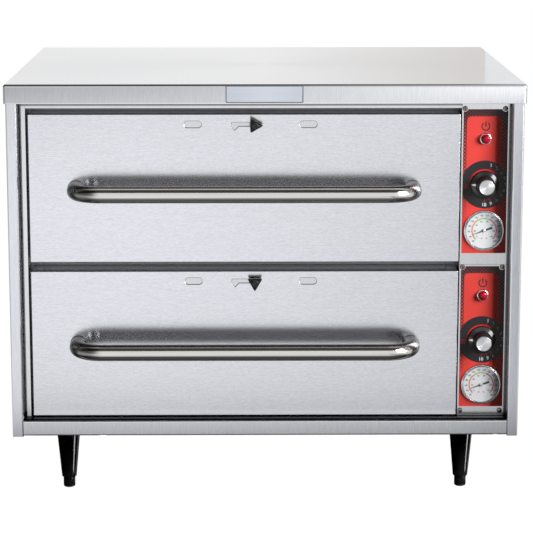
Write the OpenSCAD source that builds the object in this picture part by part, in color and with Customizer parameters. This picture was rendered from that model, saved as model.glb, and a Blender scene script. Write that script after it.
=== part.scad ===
// Free-standing two-drawer food warmer on four legs.
// Millimetres. +Z up, floor at Z = 0, the front faces -Y, origin under the middle of the bounding box.

/* [Cabinet] */
// Overall width of the top panel
top_w = 749; // [749:1:760]
// Distance from the hem of the top panel to its back edge
top_d = 576; // [576:1:580]
// Height of the top surface above the floor
total_h = 621; // [621:1:624]
// Height of the front hem of the top panel
hem_h = 28; // [26:1:30]
// Thickness of the sheet steel
sheet = 1.2; // [1.0:0.1:1.4]
// Width of the front flange of each side panel
flange_w = 16; // [15:0.5:17]
// Depth of the recess in front of the drawers
recess = 24; // [23:0.5:25]

/* [Drawers] */
// Width of a drawer front
drawer_w = 626; // [622:1:627]
// Height of a drawer front
drawer_h = 218.2; // [216:0.1:218.2]
// Thickness of a drawer front
drawer_t = 45; // [43:0.5:46]
// Vertical distance between the two drawers
pitch = 231; // [231:0.5:232]
// Travel of a drawer
travel = 390; // [300:5:395]
// Diameter of the handle tube
handle_d = 24; // [20:0.5:25]
// Overall width of a handle
handle_w = 512; // [480:1:520]
// Distance from the drawer face to the middle of the handle bar
handle_reach = 55; // [48:0.5:55]
// Bend radius of the handle on its centre line
handle_bend = 39; // [30:0.5:42]
// Diameter of a track roller
roller_d = 36; // [34:0.5:36]

/* [Food pan] */
// Length of the pan rim, across the cabinet
pan_l = 530; // [526:1:532]
// Width of the pan rim, front to back
pan_w = 325; // [320:1:330]
// Depth of the pan
pan_depth = 150; // [65:5:150]

/* [Controls] */
// Height of the printed dial centre above the floor, upper panel
dial_z = 472; // [470:0.5:474]
// Height of the thermometer centre above the floor, upper panel
gauge_z = 405; // [404:0.5:406]
// Height of the indicator lamp above the floor, upper panel
lamp_z = 539; // [537:0.5:541]
// Diameter of the thermostat knob skirt
knob_d = 40; // [36:0.5:42]
// Diameter of the thermometer bezel
bezel_d = 60; // [58:0.5:60]

/* [Legs] */
// Height of the legs, floor to cabinet base
leg_h = 102.3; // [102.3:0.1:102.3]
// How far a foot screws out
foot_travel = 19; // [10:1:19]

/* [Hidden] */
$fn = 64;

// front of the hem, front of the side flanges, back of the side panels
y_top = -275;
y_fl = y_top + 1.5;
y_bk = y_top + top_d - 1.5;
y_back = y_top + top_d;
z_hem = total_h - hem_h;
z_side0 = 101;
z_side1 = total_h - 1.5;
side_x = 371.5;
open_x = side_x - flange_w;
z_base = leg_h;
z_rail = 125;
// plane of drawer faces, stile faces and control plates
y_face = y_fl + recess;
y_inner = y_face + drawer_t;
y_cav0 = y_inner + 1.5;
y_cav1 = 284;
dr_cx = -30;
dr_x0 = dr_cx - drawer_w / 2;
dr_x1 = dr_cx + drawer_w / 2;
up_z0 = 357.2;
up_z1 = up_z0 + drawer_h;
cav_hw = 298.5;
cav_x0 = dr_cx - cav_hw;
cav_x1 = dr_cx + cav_hw;
cav_z0 = 368;
cav_z1 = 566;
header_z = 584;
plate_x0 = 284.5;
plate_x1 = 354.5;
panel_cx = 318.8;
seam_z = 353.5;
ovl = 0.25;
y_ovl = y_face - ovl;
// slide geometry
rail_zc = cav_z0 + 95;
rail_in = roller_d + 1.0;
rail_t = 1.8;
rail_w = 13;
roll_w = 9;
front_axle_y = -180;
rear_axle_y = 245;
axle_r = 4;
// pan
rim_z = cav_z0 + 24 + pan_depth;
pan_cy = -17.5;
// vents
vent_z = 560.4;
vent_xl = -104.4;
vent_xr = 62.8;
vent_travel = 25;
knob_x = -15;
// legs
leg_x = 296.5;
leg_y0 = y_fl + 81;
leg_y1 = y_bk - 81;
foot_top = 15.6;
gland_x = 318;
gland_end = -(y_face - handle_reach - handle_d / 2);
gland_z = 150;

steel = "silver";
dark = "#202225";

module box(a, b) { translate(a) cube([b[0] - a[0], b[1] - a[1], b[2] - a[2]]); }
// rod along X, Y or Z from a start point
module rod_x(x0, x1, y, z, r) { translate([x0, y, z]) rotate([0, 90, 0]) cylinder(r = r, h = x1 - x0); }
module rod_y(y0, y1, x, z, r) { translate([x, y1, z]) rotate([90, 0, 0]) cylinder(r = r, h = y1 - y0); }
module rod_z(z0, z1, x, y, r) { translate([x, y, z0]) cylinder(r = r, h = z1 - z0); }
// rectangle with round corners, centred
module round_rect(w, h, r) {
  square([w - 2 * r, h], center = true);
  square([w, h - 2 * r], center = true);
  for (i = [-1, 1], j = [-1, 1]) translate([i * (w / 2 - r), j * (h / 2 - r)]) circle(r = r);
}
// slot with round ends, cut along Y
module slot_y(x, z, l, h, y0, y1) {
  translate([x, y1, z]) rotate([90, 0, 0]) linear_extrude(y1 - y0) {
    square([l - h, h], center = true);
    for (i = [-1, 1]) translate([i * (l - h) / 2, 0]) circle(d = h);
  }
}
// profile turned about an axis along Y, its points being [radius, distance in front of y]
module turn_y(x, y, z, pts) {
  translate([x, y, z]) rotate([90, 0, 0]) rotate_extrude() polygon(pts);
}
module down(k) { translate([0, 0, -k * pitch]) children(); }

// ---------------------------------------------------------------- cabinet shell
module top_panel() {
  color(steel) difference() {
    box([-top_w / 2, y_top, z_hem], [top_w / 2, y_back, total_h]);
    box([-top_w / 2 + sheet, y_top + sheet, z_hem - 1], [top_w / 2 - sheet, y_back - sheet, total_h - sheet]);
  }
}
module side_sheet() {
  difference() {
    side_form();
    for (p = back_screw_pts()) if (p[0] < 0) rod_y(y_bk - 3, y_bk + 3, p[0], p[1], 2.1);
  }
}
module side_form() {
  union() {
    box([-side_x, y_fl, z_side0], [-side_x + sheet, y_bk, z_side1]);
    box([-side_x, y_fl, z_side0], [-open_x, y_fl + sheet, z_side1]);
    box([-open_x - sheet, y_fl, z_side0], [-open_x, y_face - 0.5, z_side1]);
    box([-side_x, y_bk - sheet, z_side0], [-open_x + 4, y_bk, z_side1]);
    box([-side_x, y_fl, z_side0], [-open_x - sheet, y_bk, z_side0 + sheet]);
    box([-side_x, y_fl, z_side1 - sheet], [-open_x - sheet, y_bk, z_side1]);
  }
}
module left_side_panel() { color(steel) side_sheet(); }
module right_side_panel() { color(steel) mirror([1, 0, 0]) side_sheet(); }

module base_pan() {
  color(steel) difference() {
    union() {
      box([-open_x + 0.3, y_fl + 0.2, z_base], [open_x - 0.3, y_bk - sheet - 0.3, z_base + sheet]);
      box([-open_x + 0.3, y_fl + 0.2, z_base], [open_x - 0.3, y_fl + 0.2 + sheet, z_rail]);
      box([-open_x + 0.3, y_fl + 0.2, z_rail - sheet], [open_x - 0.3, y_face - 0.5, z_rail]);
      box([-open_x + 0.3, y_face - 0.5 - sheet, z_base], [open_x - 0.3, y_face - 0.5, z_rail]);
      for (x = [-leg_x, leg_x], y = [leg_y0, leg_y1])
        box([x - 30, y - 30, z_base], [x + 30, y + 30, z_base + sheet + 6]);
    }
    for (x = [-leg_x, leg_x], y = [leg_y0, leg_y1]) rod_z(z_base - 1, z_base + 20, x, y, 4.8);
  }
}
module back_panel() {
  color(steel) difference() {
    box([-366, y_bk, z_base + 1], [366, y_bk + sheet, z_hem - 1]);
    rod_y(y_bk - 1, y_bk + 3, gland_x, gland_z, 10);
    for (p = back_screw_pts()) rod_y(y_bk - 1, y_bk + 3, p[0], p[1], 2.1);
  }
}
function back_screw_pts() = concat(
  [for (s = [-1, 1], z = [130, 235, 345, 455, 565]) [s * 360, z]]);

// face frame: left stile, header, mullion and right stile, bent strips behind the opening
module face_frame() {
  color(steel) {
    // left stile
    union() {
      box([-351.8, y_face, z_base + 9], [-345.9, y_face + sheet, 590]);
      box([-347.1, y_face, z_base + 9], [-345.9, y_cav0 - 0.1, 590]);
      box([-351.8, y_face, z_base + 9], [-350.6, y_face + 12, 590]);
      box([-side_x + sheet + 0.02, y_face + 12 - sheet, z_base + 9], [-350.6, y_face + 12, 590]);
    }
    // header
    union() {
      box([-345.7, y_face, header_z], [plate_x0 - 0.6, y_face + sheet, 592]);
      box([-345.7, y_face, header_z], [plate_x0 - 0.6, y_cav0 - 0.1, header_z + sheet]);
      box([-345.7, y_face, 592 - sheet], [plate_x0 - 0.6, y_face + 14, 592]);
    }
    // mullion beside the controls
    difference() {
      union() {
        box([plate_x0 - 0.2, y_face + sheet + 0.1, z_base + 9], [plate_x0 + 1, y_cav0 - 0.1, 590]);
        box([plate_x0 - 0.2, y_face + sheet + 0.1, z_base + 9], [plate_x0 + 8, y_face + 2 * sheet + 0.1, 590]);
      }
      panel_screw_holes();
      can_clearance();
    }
    // right stile
    difference() {
      union() {
        box([341, y_face + sheet + 0.1, z_base + 9], [side_x - sheet - 0.02, y_face + 2 * sheet + 0.1, 590]);
        box([side_x - 2 * sheet - 0.02, y_face + sheet + 0.1, z_base + 9], [side_x - sheet - 0.02, y_face + 20, 590]);
      }
      panel_screw_holes();
      can_clearance();
    }
  }
}
screw_xs = [288.5, 346.8];
screw_zs = [583, 350, 133.5];
module panel_screw_holes() {
  for (x = screw_xs, z = screw_zs) rod_y(y_face - 2, y_face + 6, x, z, 2.1);
}
// room for the round cans of the thermometers
module can_clearance() {
  for (k = [0, 1]) down(k) rod_y(y_face - 2, y_face + 30, panel_cx, gauge_z, 28);
}

// ---------------------------------------------------------------- lined cavities
module cavity_side_walls() {
  color(steel) { left_wall(); right_wall(); }
}
module left_wall() {
  union() {
    box([cav_x0 - sheet, y_cav0, 112], [cav_x0, y_cav1, 592]);
    box([-345.9, y_cav0, 112], [cav_x0, y_cav0 + sheet, 592]);
  }
}
module right_wall() {
  difference() {
    union() {
      box([cav_x1, y_cav0, 112], [cav_x1 + sheet, y_cav1, 592]);
      box([cav_x1, y_cav0, 112], [plate_x0 - 0.3, y_cav0 + sheet, 592]);
    }
    for (k = [0, 1]) down(k) {
      for (y = [-120, 180]) rod_x(cav_x1 - 2, cav_x1 + 4, y, cav_z0 + 10, 4.6);
      for (z = [546, 528]) rod_x(cav_x1 - 2, cav_x1 + 4, -5, z, 1.8);
    }
  }
}
module cavity_back_wall() {
  color(steel) box([cav_x0 - sheet, y_cav1 + 0.05, 112], [cav_x1 + sheet, y_cav1 + sheet + 0.05, 592]);
}
// ceiling and floor of each cavity, each with a turned front edge
module cavity_decks() {
  color(steel) {
    deck(cav_z1, header_z - 0.2, 0);
    deck(cav_z0 - sheet, (cav_z0 + cav_z1 - pitch) / 2 + 0.1, 1);
    deck(cav_z1 - pitch, (cav_z0 + cav_z1 - pitch) / 2 - 0.1, 0);
    deck(cav_z0 - pitch - sheet, 112, 1);
  }
}
module deck(z, z_edge, is_floor) {
  union() {
    box([cav_x0 + 0.1, y_cav0, z], [cav_x1 - 0.1, y_cav1, z + sheet]);
    if (is_floor == 1) box([cav_x0 + 0.1, y_cav0, z_edge], [cav_x1 - 0.1, y_cav0 + sheet, z + sheet]);
    else box([cav_x0 + 0.1, y_cav0, z], [cav_x1 - 0.1, y_cav0 + sheet, z_edge]);
  }
}
module insulation() {
  color("khaki") {
    box([-side_x + sheet + 1, y_cav0 + 3, 116], [cav_x0 - sheet - 0.5, y_cav1, 590]);
    difference() {
      box([cav_x1 + sheet + 0.5, y_cav0 + 3, 116], [plate_x0 - 1, y_cav1, 590]);
      for (k = [0, 1]) down(k) {
        for (y = [-120, 180]) rod_x(cav_x1, cav_x1 + 30, y, cav_z0 + 10, 5);
        for (z = [546, 528]) rod_x(cav_x1, cav_x1 + 30, -5, z, 2.5);
      }
    }
    box([cav_x0 + 1, y_cav0 + 3, cav_z1 + sheet + 0.5], [cav_x1 - 1, y_cav1, 616]);
    box([cav_x0 + 1, y_cav0 + 3, cav_z1 - pitch + sheet + 0.5], [cav_x1 - 1, y_cav1, cav_z0 - sheet - 0.5]);
    box([cav_x0 + 1, y_cav0 + 3, 116], [cav_x1 - 1, y_cav1, cav_z0 - pitch - sheet - 0.5]);
    box([cav_x0, y_cav1 + sheet + 0.5, 116], [cav_x1, y_bk - sheet - 0.5, 590]);
  }
}

// fixed tracks: channels on the cavity walls, each with the axle of its front roller
module track(side) {
  // side -1 is the left wall, +1 the right wall
  translate([dr_cx, 0, 0]) mirror([side > 0 ? 1 : 0, 0, 0]) {
    union() {
      box([-cav_hw, y_cav0 + 5, rail_zc - rail_in / 2 - rail_t], [-cav_hw + rail_t, 272, rail_zc + rail_in / 2 + rail_t]);
      for (s = [-1, 1]) box([-cav_hw, y_cav0 + 5, s > 0 ? rail_zc + rail_in / 2 : rail_zc - rail_in / 2 - rail_t],
        [-cav_hw + rail_w, 272, s > 0 ? rail_zc + rail_in / 2 + rail_t : rail_zc - rail_in / 2]);
      rod_x(-cav_hw, -cav_hw + 24.5, front_axle_y, rail_zc + 0.2, axle_r);
      rod_x(-cav_hw, -cav_hw + 13.6, front_axle_y, rail_zc + 0.2, 7);
    }
  }
}
module drawer_tracks() {
  color("lightgray") for (k = [0, 1], s = [-1, 1]) down(k) track(s);
}
module roller_body(x0, y, z) {
  // nylon roller with a hub bore
  difference() {
    union() {
      rod_x(x0, x0 + roll_w, y, z, roller_d / 2 - 0.6);
      rod_x(x0 + 1, x0 + roll_w - 1, y, z, roller_d / 2);
    }
    rod_x(x0 - 1, x0 + roll_w + 1, y, z, axle_r + 0.06);
    for (x = [x0 - 1, x0 + roll_w - 1.5]) difference() {
      rod_x(x, x + 2.5, y, z, roller_d / 2 - 4);
      rod_x(x - 1, x + 3.5, y, z, axle_r + 3);
    }
  }
}
module front_rollers() {
  color("ivory") for (s = [-1, 1]) translate([dr_cx, 0, 0]) mirror([s > 0 ? 1 : 0, 0, 0])
    roller_body(-cav_hw + 14, front_axle_y, rail_zc + 0.2);
}
module rear_rollers() {
  color("ivory") for (s = [-1, 1]) translate([dr_cx, 0, 0]) mirror([s > 0 ? 1 : 0, 0, 0])
    roller_body(-cav_hw + rail_t + 0.7, rear_axle_y, rail_zc - 0.2);
}
module upper_front_rollers() { front_rollers(); }
module upper_rear_rollers() { rear_rollers(); }
module lower_front_rollers() { down(1) front_rollers(); }
module lower_rear_rollers() { down(1) rear_rollers(); }

// ---------------------------------------------------------------- heating and electrical pieces
el_r = 4;
module u_bend(x, y, z, r, to_left) {
  translate([x, y, z]) rotate([0, 0, to_left ? 90 : -90]) rotate_extrude(angle = 180) translate([r, 0]) circle(r = el_r);
}
module element() {
  z = cav_z0 + 10;
  union() {
    rod_x(-240, 292, -120, z, el_r);
    rod_x(-240, 180, -20, z, el_r);
    rod_x(-240, 180, 80, z, el_r);
    rod_x(-240, 292, 180, z, el_r);
    u_bend(-240, -70, z, 50, true);
    u_bend(180, 30, z, 50, false);
    u_bend(-240, 130, z, 50, true);
    // standing clips that carry the tube
    for (x = [-200, -20, 140], y = [-120, -20, 80, 180]) box([x, y - 6, cav_z0], [x + 1.5, y + 6, cav_z0 + 16]);
    // terminals
    for (y = [-120, 180]) rod_x(291, 305, y, z, 1.6);
  }
}
module heating_elements() { color("dimgray") for (k = [0, 1]) down(k) element(); }

module thermostat() {
  difference() {
    union() {
      box([panel_cx - 20, y_face + 3, dial_z - 24], [panel_cx + 20, y_face + 42, dial_z + 24]);
      rod_y(y_face - 2.6, y_face + 4, panel_cx, dial_z, 4.9);
      // lock nut in front of the plate
      translate([panel_cx, y_face - ovl, dial_z]) rotate([90, 0, 0]) cylinder(r = 8, h = 2.2, $fn = 6);
    }
    rod_y(y_face - 10, y_face + 35, panel_cx, dial_z, 3.05);
  }
}
// thin tube from the back of an instrument through the cavity wall
module capillary(x, y, z, zb) {
  yk = -150;
  union() {
    rod_y(y + 0.02, yk, x, z, 1.2);
    translate([x, yk, z]) sphere(r = 1.2);
    rod_z(min(z, zb), max(z, zb), x, yk, 1.2);
    translate([x, yk, zb]) sphere(r = 1.2);
    rod_y(yk, -5, x, zb, 1.2);
    translate([x, -5, zb]) sphere(r = 1.2);
    rod_x(cav_x1 - 6.5, x, -5, zb, 1.2);
  }
}
module bulb(zb) { rod_y(-8, 80, cav_x1 - 6.5, zb, 3.5); }
// bulb in the cavity and capillary, one pair for each thermostat and each thermometer
module sensor_lines() {
  color("peru") for (k = [0, 1]) down(k) {
    union() { capillary(panel_cx - 14, y_face + 42, dial_z + 10, 546); bulb(546); }
    union() { capillary(panel_cx + 12, y_face + 24, gauge_z, 528); bulb(528); }
  }
}
module thermostats() { color("dimgray") for (k = [0, 1]) down(k) thermostat(); }

module terminal_block() {
  color("ivory") difference() {
    union() {
      box([298, y_bk - 18, 196], [342, y_bk, 204]);
      for (i = [0:3]) box([299 + i * 11, y_bk - 18, 190], [308 + i * 11, y_bk - 4, 212]);
    }
    for (i = [0:3], z = [194, 208]) rod_y(y_bk - 19, y_bk - 12, 303.5 + i * 11, z, 2);
  }
}
module cord_gland() {
  color(dark) difference() {
    union() {
      translate([gland_x, y_bk + sheet, gland_z]) rotate([-90, 0, 0]) cylinder(r = 16, h = 6, $fn = 6);
      translate([gland_x, y_bk + sheet + 5, gland_z]) rotate([-90, 0, 0])
        rotate_extrude() polygon([[0, 0], [12, 0], [12, 6], [9.5, gland_end - y_bk - sheet - 5], [0, gland_end - y_bk - sheet - 5]]);
      rod_y(y_bk - 10, y_bk + sheet + 1, gland_x, gland_z, 9.8);
      translate([gland_x, y_bk - 6, gland_z]) rotate([-90, 0, 0]) cylinder(r = 15, h = 6, $fn = 6);
    }
    rod_y(y_bk - 12, 320, gland_x, gland_z, 5.2);
  }
}

// ---------------------------------------------------------------- control panel
module control_plate(z0, z1, k) {
  difference() {
    box([plate_x0, y_face, z0], [plate_x1, y_face + sheet, z1]);
    panel_screw_holes();
    down(k) {
      rod_y(y_face - 1, y_face + 3, panel_cx, dial_z, 5.1);
      rod_y(y_face - 1, y_face + 3, panel_cx, gauge_z, 27.3);
      rod_y(y_face - 1, y_face + 3, panel_cx, lamp_z, 6.4);
    }
  }
}
module control_plates() {
  color(steel) {
    control_plate(seam_z + 0.15, 591, 0);
    control_plate(z_rail + 0.4, seam_z - 0.15, 1);
  }
}
module overlay() {
  difference() {
    box([286.5, y_ovl, 370.5], [351, y_face, 582]);
    rod_y(y_face - 2, y_face + 2, panel_cx, dial_z, 5.1);
    rod_y(y_face - 2, y_face + 2, panel_cx, gauge_z, 27.3);
    rod_y(y_face - 2, y_face + 2, panel_cx, lamp_z, 6.4);
    for (x = screw_xs) rod_y(y_face - 2, y_face + 2, x, 583, 4.6);
  }
}
module control_overlays() {
  color("firebrick") {
    overlay();
    difference() {
      down(1) overlay();
      for (x = screw_xs) rod_y(y_face - 2, y_face + 2, x, 350, 4.6);
    }
  }
}
module lamp_bezels() {
  color("gainsboro") for (k = [0, 1]) down(k) difference() {
    union() {
      turn_y(panel_cx, y_ovl, lamp_z, [[0, 0], [9, 0], [9, 1.2], [8, 2.6], [6.8, 3.2], [0, 3.2]]);
      rod_y(y_ovl, y_face + 24, panel_cx, lamp_z, 6.2);
    }
    turn_y(panel_cx, y_ovl - 4, lamp_z, [[0, 0], [6.4, 0], [6.4, -3], [5.2, -3], [5.2, -24], [0, -24]]);
  }
}
module lamp_lenses() {
  color("red") for (k = [0, 1]) down(k)
    turn_y(panel_cx, y_ovl - 1.05, lamp_z, [[0, 0], [6.3, 0], [6.3, 3.2], [5.6, 5.2], [4.2, 6.6], [2.2, 7.3], [0, 7.5]]);
}
module knob_form() {
  difference() {
    turn_y(panel_cx, y_ovl - 0.4, dial_z, [[0, 0], [knob_d / 2, 0], [knob_d / 2, 2.2], [knob_d / 2 - 0.6, 2.9],
      [knob_d / 2 - 6, 6.2], [knob_d / 2 - 6.8, 7.4], [knob_d / 2 - 7.4, 16], [knob_d / 2 - 8, 27.4], [0, 27.4]]);
    // hollow under the skirt
    turn_y(panel_cx, y_ovl + 0.6, dial_z, [[0, 0], [knob_d / 2 - 3, 0], [knob_d / 2 - 7, 3.4], [10, 9], [0, 9]]);
    // shaft hole
    rod_y(y_ovl - 20, y_ovl + 1, panel_cx, dial_z, 3.02);
    // seat of the cap
    rod_y(y_ovl - 30, y_ovl - 0.4 - 26.6, panel_cx, dial_z, 11.05);
  }
}
module upper_knob() { color(dark) knob_form(); }
module lower_knob() { color(dark) down(1) knob_form(); }
module knob_cap_form() {
  turn_y(panel_cx, y_ovl - 27.02, dial_z, [[0, 0], [11, 0], [11, 1.2], [10.4, 1.7], [9.6, 1.5], [0, 1.4]]);
}
module upper_knob_cap() { color("gainsboro") knob_cap_form(); }
module lower_knob_cap() { color("gainsboro") down(1) knob_cap_form(); }
module knob_shaft_form() { rod_y(y_ovl - 19.8, y_face + 34, panel_cx, dial_z, 3); }
module upper_knob_shaft() { color("gray") knob_shaft_form(); }
module lower_knob_shaft() { color("gray") down(1) knob_shaft_form(); }

module gauge_case() {
  difference() {
    union() {
      turn_y(panel_cx, y_ovl, gauge_z, [[0, 0], [bezel_d / 2 - 1, 0], [bezel_d / 2, 1.2], [bezel_d / 2, 6.2], [bezel_d / 2 - 1.4, 8.6],
        [bezel_d / 2 - 3, 9.2], [0, 9.2]]);
      rod_y(y_ovl, y_face + 24, panel_cx, gauge_z, 27);
    }
    // window opening, dial room and hollow can
    turn_y(panel_cx, y_ovl - 12, gauge_z, [[0, 0], [26.4, 0], [26.4, -3.8], [27.2, -3.8], [27.2, -6.6], [26.6, -6.6], [26.6, -8.4],
      [25, -8.4], [25, -34], [0, -34]]);
  }
  // movement with the bearing of the needle arbor
  difference() {
    rod_y(y_face - 1, y_face + 22.3, panel_cx, gauge_z, 6);
    rod_y(y_face - 8, y_face + 12, panel_cx, gauge_z, 0.86);
  }
}
module gauge_cases() { color("gainsboro") for (k = [0, 1]) down(k) gauge_case(); }
module gauge_dials() {
  color("white") for (k = [0, 1]) down(k) difference() {
    rod_y(y_ovl - 4.4, y_ovl - 3.6, panel_cx, gauge_z, 26.5);
    rod_y(y_ovl - 8, y_ovl, panel_cx, gauge_z, 1.2);
  }
}
module gauge_windows() {
  color("lightcyan", 0.3) for (k = [0, 1]) down(k) rod_y(y_ovl - 8, y_ovl - 6.6, panel_cx, gauge_z, 27.1);
}
needle_a = 250;
module needle_form() {
  union() {
    translate([panel_cx, y_ovl - 5.2, gauge_z]) rotate([90, needle_a, 0]) linear_extrude(0.5)
      polygon([[-1.7, -12.4], [1.7, -12.4], [1.0, 0], [0.3, 16.4], [-0.3, 16.4], [-1.0, 0]]);
    rod_y(y_ovl - 6, y_ovl - 4.9, panel_cx, gauge_z, 2.2);
    rod_y(y_ovl - 5.9, y_face + 10, panel_cx, gauge_z, 0.8);
  }
}
module upper_gauge_needle() { color(dark) needle_form(); }
module lower_gauge_needle() { color(dark) down(1) needle_form(); }

module screws() {
  color("gainsboro") {
    for (x = screw_xs, z = screw_zs) difference() {
      union() {
        turn_y(x, y_face, z, [[0, 0], [3.7, 0], [3.7, 1.3], [2.9, 2.2], [1.4, 2.6], [0, 2.7]]);
        rod_y(y_face - 0.5, y_face + 8, x, z, 1.9);
      }
      for (a = [0, 90]) translate([x, y_face - 2.2, z]) rotate([0, a, 0]) box([-2, -1.5, -0.35], [2, 1, 0.35]);
    }
    for (p = back_screw_pts()) difference() {
      union() {
        translate([p[0], y_bk + sheet, p[1]]) rotate([-90, 0, 0]) rotate_extrude()
          polygon([[0, 0], [3.7, 0], [3.7, 1.3], [2.9, 2.2], [1.4, 2.6], [0, 2.7]]);
        rod_y(y_bk - 0.01 - sheet, y_bk + sheet + 0.5, p[0], p[1], 1.9);
      }
      for (a = [0, 90]) translate([p[0], y_bk + sheet + 2.2, p[1]]) rotate([0, a, 0]) box([-2, -1, -0.35], [2, 1.5, 0.35]);
    }
  }
}

// ---------------------------------------------------------------- legs, badge
module leg(x, y) {
  translate([x, y, 0]) difference() {
    union() {
      rotate_extrude() polygon([[0, foot_top + 0.3], [9.4, foot_top + 0.3], [11, foot_top + 2.2], [17.8, 92], [19, 95], [19, leg_h], [0, leg_h]]);
      cylinder(r = 4.7, h = leg_h + 7);
    }
    translate([0, 0, -1]) cylinder(r = 6.08, h = 57);
  }
}
module legs() { color(dark) for (x = [-leg_x, leg_x], y = [leg_y0, leg_y1]) leg(x, y); }
module foot(x, y) {
  color(dark) translate([x, y, 0]) union() {
    rotate_extrude() polygon([[0, 0], [6.4, 0], [7.9, 0.7], [8.85, 2.4], [8.85, foot_top - 1.2], [8.1, foot_top], [0, foot_top]]);
    cylinder(r = 6, h = 54);
  }
}
module front_left_foot() { foot(-leg_x, leg_y0); }
module front_right_foot() { foot(leg_x, leg_y0); }
module back_left_foot() { foot(-leg_x, leg_y1); }
module back_right_foot() { foot(leg_x, leg_y1); }

module badge_plate() {
  color("lightsteelblue") translate([-1, y_top, z_hem + hem_h / 2]) rotate([90, 0, 0]) linear_extrude(1) round_rect(111, 25, 1);
}

// ---------------------------------------------------------------- drawers (upper set, the lower set is a copy one pitch down)
handle_z = 466.4;
bolt_xs = [dr_cx - handle_w / 2 + handle_d / 2, dr_cx + handle_w / 2 - handle_d / 2];
module drawer_front() {
  y0 = y_face;
  difference() {
    union() {
      difference() {
        box([dr_x0, y0, up_z0], [dr_x1, y_inner - 1.4, up_z1]);
        box([dr_x0 + sheet, y0 + sheet, up_z0 + sheet], [dr_x1 - sheet, y_inner, up_z1 - sheet]);
      }
      // guides of the vent slide, welded behind the face
      for (s = [-1, 1]) {
        za = vent_z + s * 10.3;
        box([-140, y0 + sheet, min(za, za + s * 1.5)], [122, y0 + sheet + 3, max(za, za + s * 1.5)]);
        box([-140, y0 + sheet + 1.8, min(za - s * 3, za + s * 1.5)], [122, y0 + sheet + 3, max(za - s * 3, za + s * 1.5)]);
      }
    }
    // vent openings and the hooked slot of the clamp knob
    for (x = [vent_xl, vent_xr]) slot_y(x, vent_z, 25, 9.6, y0 - 1, y0 + 2);
    slot_y(-26, vent_z, 36, 5.5, y0 - 1, y0 + 2);
    translate([-44, y0 + 2, vent_z]) rotate([90, 0, 0]) linear_extrude(3)
      polygon([[-4.5, 2.75], [4.5, 2.75], [4.5, -4.2], [0, -8.7], [-4.5, -4.2]]);
    for (x = bolt_xs) rod_y(y0 - 1, y0 + 3, x, handle_z, 3.2);
  }
}
module drawer_inner_panel() {
  difference() {
    box([dr_x0 + 1.4, y_inner - 1.2, up_z0 + 1.4], [dr_x1 - 1.4, y_inner, up_z1 - 1.4]);
    for (x = [vent_xl, vent_xr]) slot_y(x, vent_z, 30, 9.6, y_inner - 3, y_inner + 2);
  }
}
module drawer_insulation() {
  difference() {
    box([dr_x0 + 3, y_face + 3, up_z0 + 3], [dr_x1 - 3, y_inner - 2, vent_z - 16]);
    for (x = bolt_xs) rod_y(y_face, y_face + 14, x, handle_z, 9);
  }
}
// bent tube: bar, two quarter bends and two straight legs
module handle_sweep(r, more) {
  xh = handle_w / 2 - handle_d / 2;
  yb = y_face - handle_reach;
  translate([dr_cx, 0, handle_z]) union() {
    rod_x(-xh + handle_bend, xh - handle_bend, yb, 0, r);
    for (s = [-1, 1]) {
      translate([s * (xh - handle_bend), yb + handle_bend, 0]) rotate([0, 0, s > 0 ? -90 : 180])
        rotate_extrude(angle = 90) translate([handle_bend, 0]) circle(r = r);
      rod_y(yb + handle_bend, y_face + more, s * xh, 0, r);
    }
  }
}
module handle_tube() {
  difference() {
    union() {
      difference() { handle_sweep(handle_d / 2, 0); handle_sweep(handle_d / 2 - 2, 1); }
      // threaded plugs in the ends
      for (x = bolt_xs) rod_y(y_face - 14, y_face, x, handle_z, handle_d / 2 - 1);
    }
    for (x = bolt_xs) rod_y(y_face - 12, y_face + 1, x, handle_z, 3.02);
  }
}
module handle_bolts() {
  for (x = bolt_xs) union() {
    rod_y(y_face - 11, y_face + sheet + 1, x, handle_z, 3);
    translate([x, y_face + sheet + 5, handle_z]) rotate([90, 0, 0]) cylinder(r = 6, h = 5, $fn = 6);
  }
}
// side plate with the running channel, its rear axle and the ledge under the pan rim
module drawer_side() {
  xw = -cav_hw + 2 * rail_w + 1;
  {
    union() {
      box([xw - rail_t, y_inner, rail_zc - rail_in / 2 - rail_t], [xw, 264, rim_z - 1.6]);
      for (s = [-1, 1]) box([xw - rail_w, y_inner + 7, s > 0 ? rail_zc + rail_in / 2 : rail_zc - rail_in / 2 - rail_t],
        [xw, 264, s > 0 ? rail_zc + rail_in / 2 + rail_t : rail_zc - rail_in / 2]);
      rod_x(-cav_hw + rail_t + 0.8, xw, rear_axle_y, rail_zc - 0.2, axle_r);
      rod_x(-cav_hw + rail_t + roll_w + 1.0, xw, rear_axle_y, rail_zc - 0.2, 6.5);
      box([xw - rail_t, pan_cy - pan_w / 2 - 6, rim_z - 1.8 - 1.6], [xw + 16, pan_cy + pan_w / 2 + 6, rim_z - 1.6]);
      // foot welded to the inner panel of the front
      box([xw - rail_t, y_inner, rail_zc - rail_in / 2], [xw + 20, y_inner + 1.8, rim_z - 6]);
    }
  }
}
module drawer_frame() {
  translate([dr_cx, 0, 0]) {
    drawer_side();
    mirror([1, 0, 0]) drawer_side();
    xw = cav_hw - 2 * rail_w - 1;
    // cross bars under the long sides of the rim
    for (s = [-1, 1]) {
      yo = pan_cy + s * (pan_w / 2 + 4);
      union() {
        box([-xw + 16.1, min(yo, yo - s * 20), rim_z - 1.8 - 1.6], [xw - 16.1, max(yo, yo - s * 20), rim_z - 1.6]);
        box([-xw + 20.2, min(yo, yo - s * 1.8), rim_z - 32], [xw - 20.2, max(yo, yo - s * 1.8), rim_z - 1.6]);
      }
    }
  }
}
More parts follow.
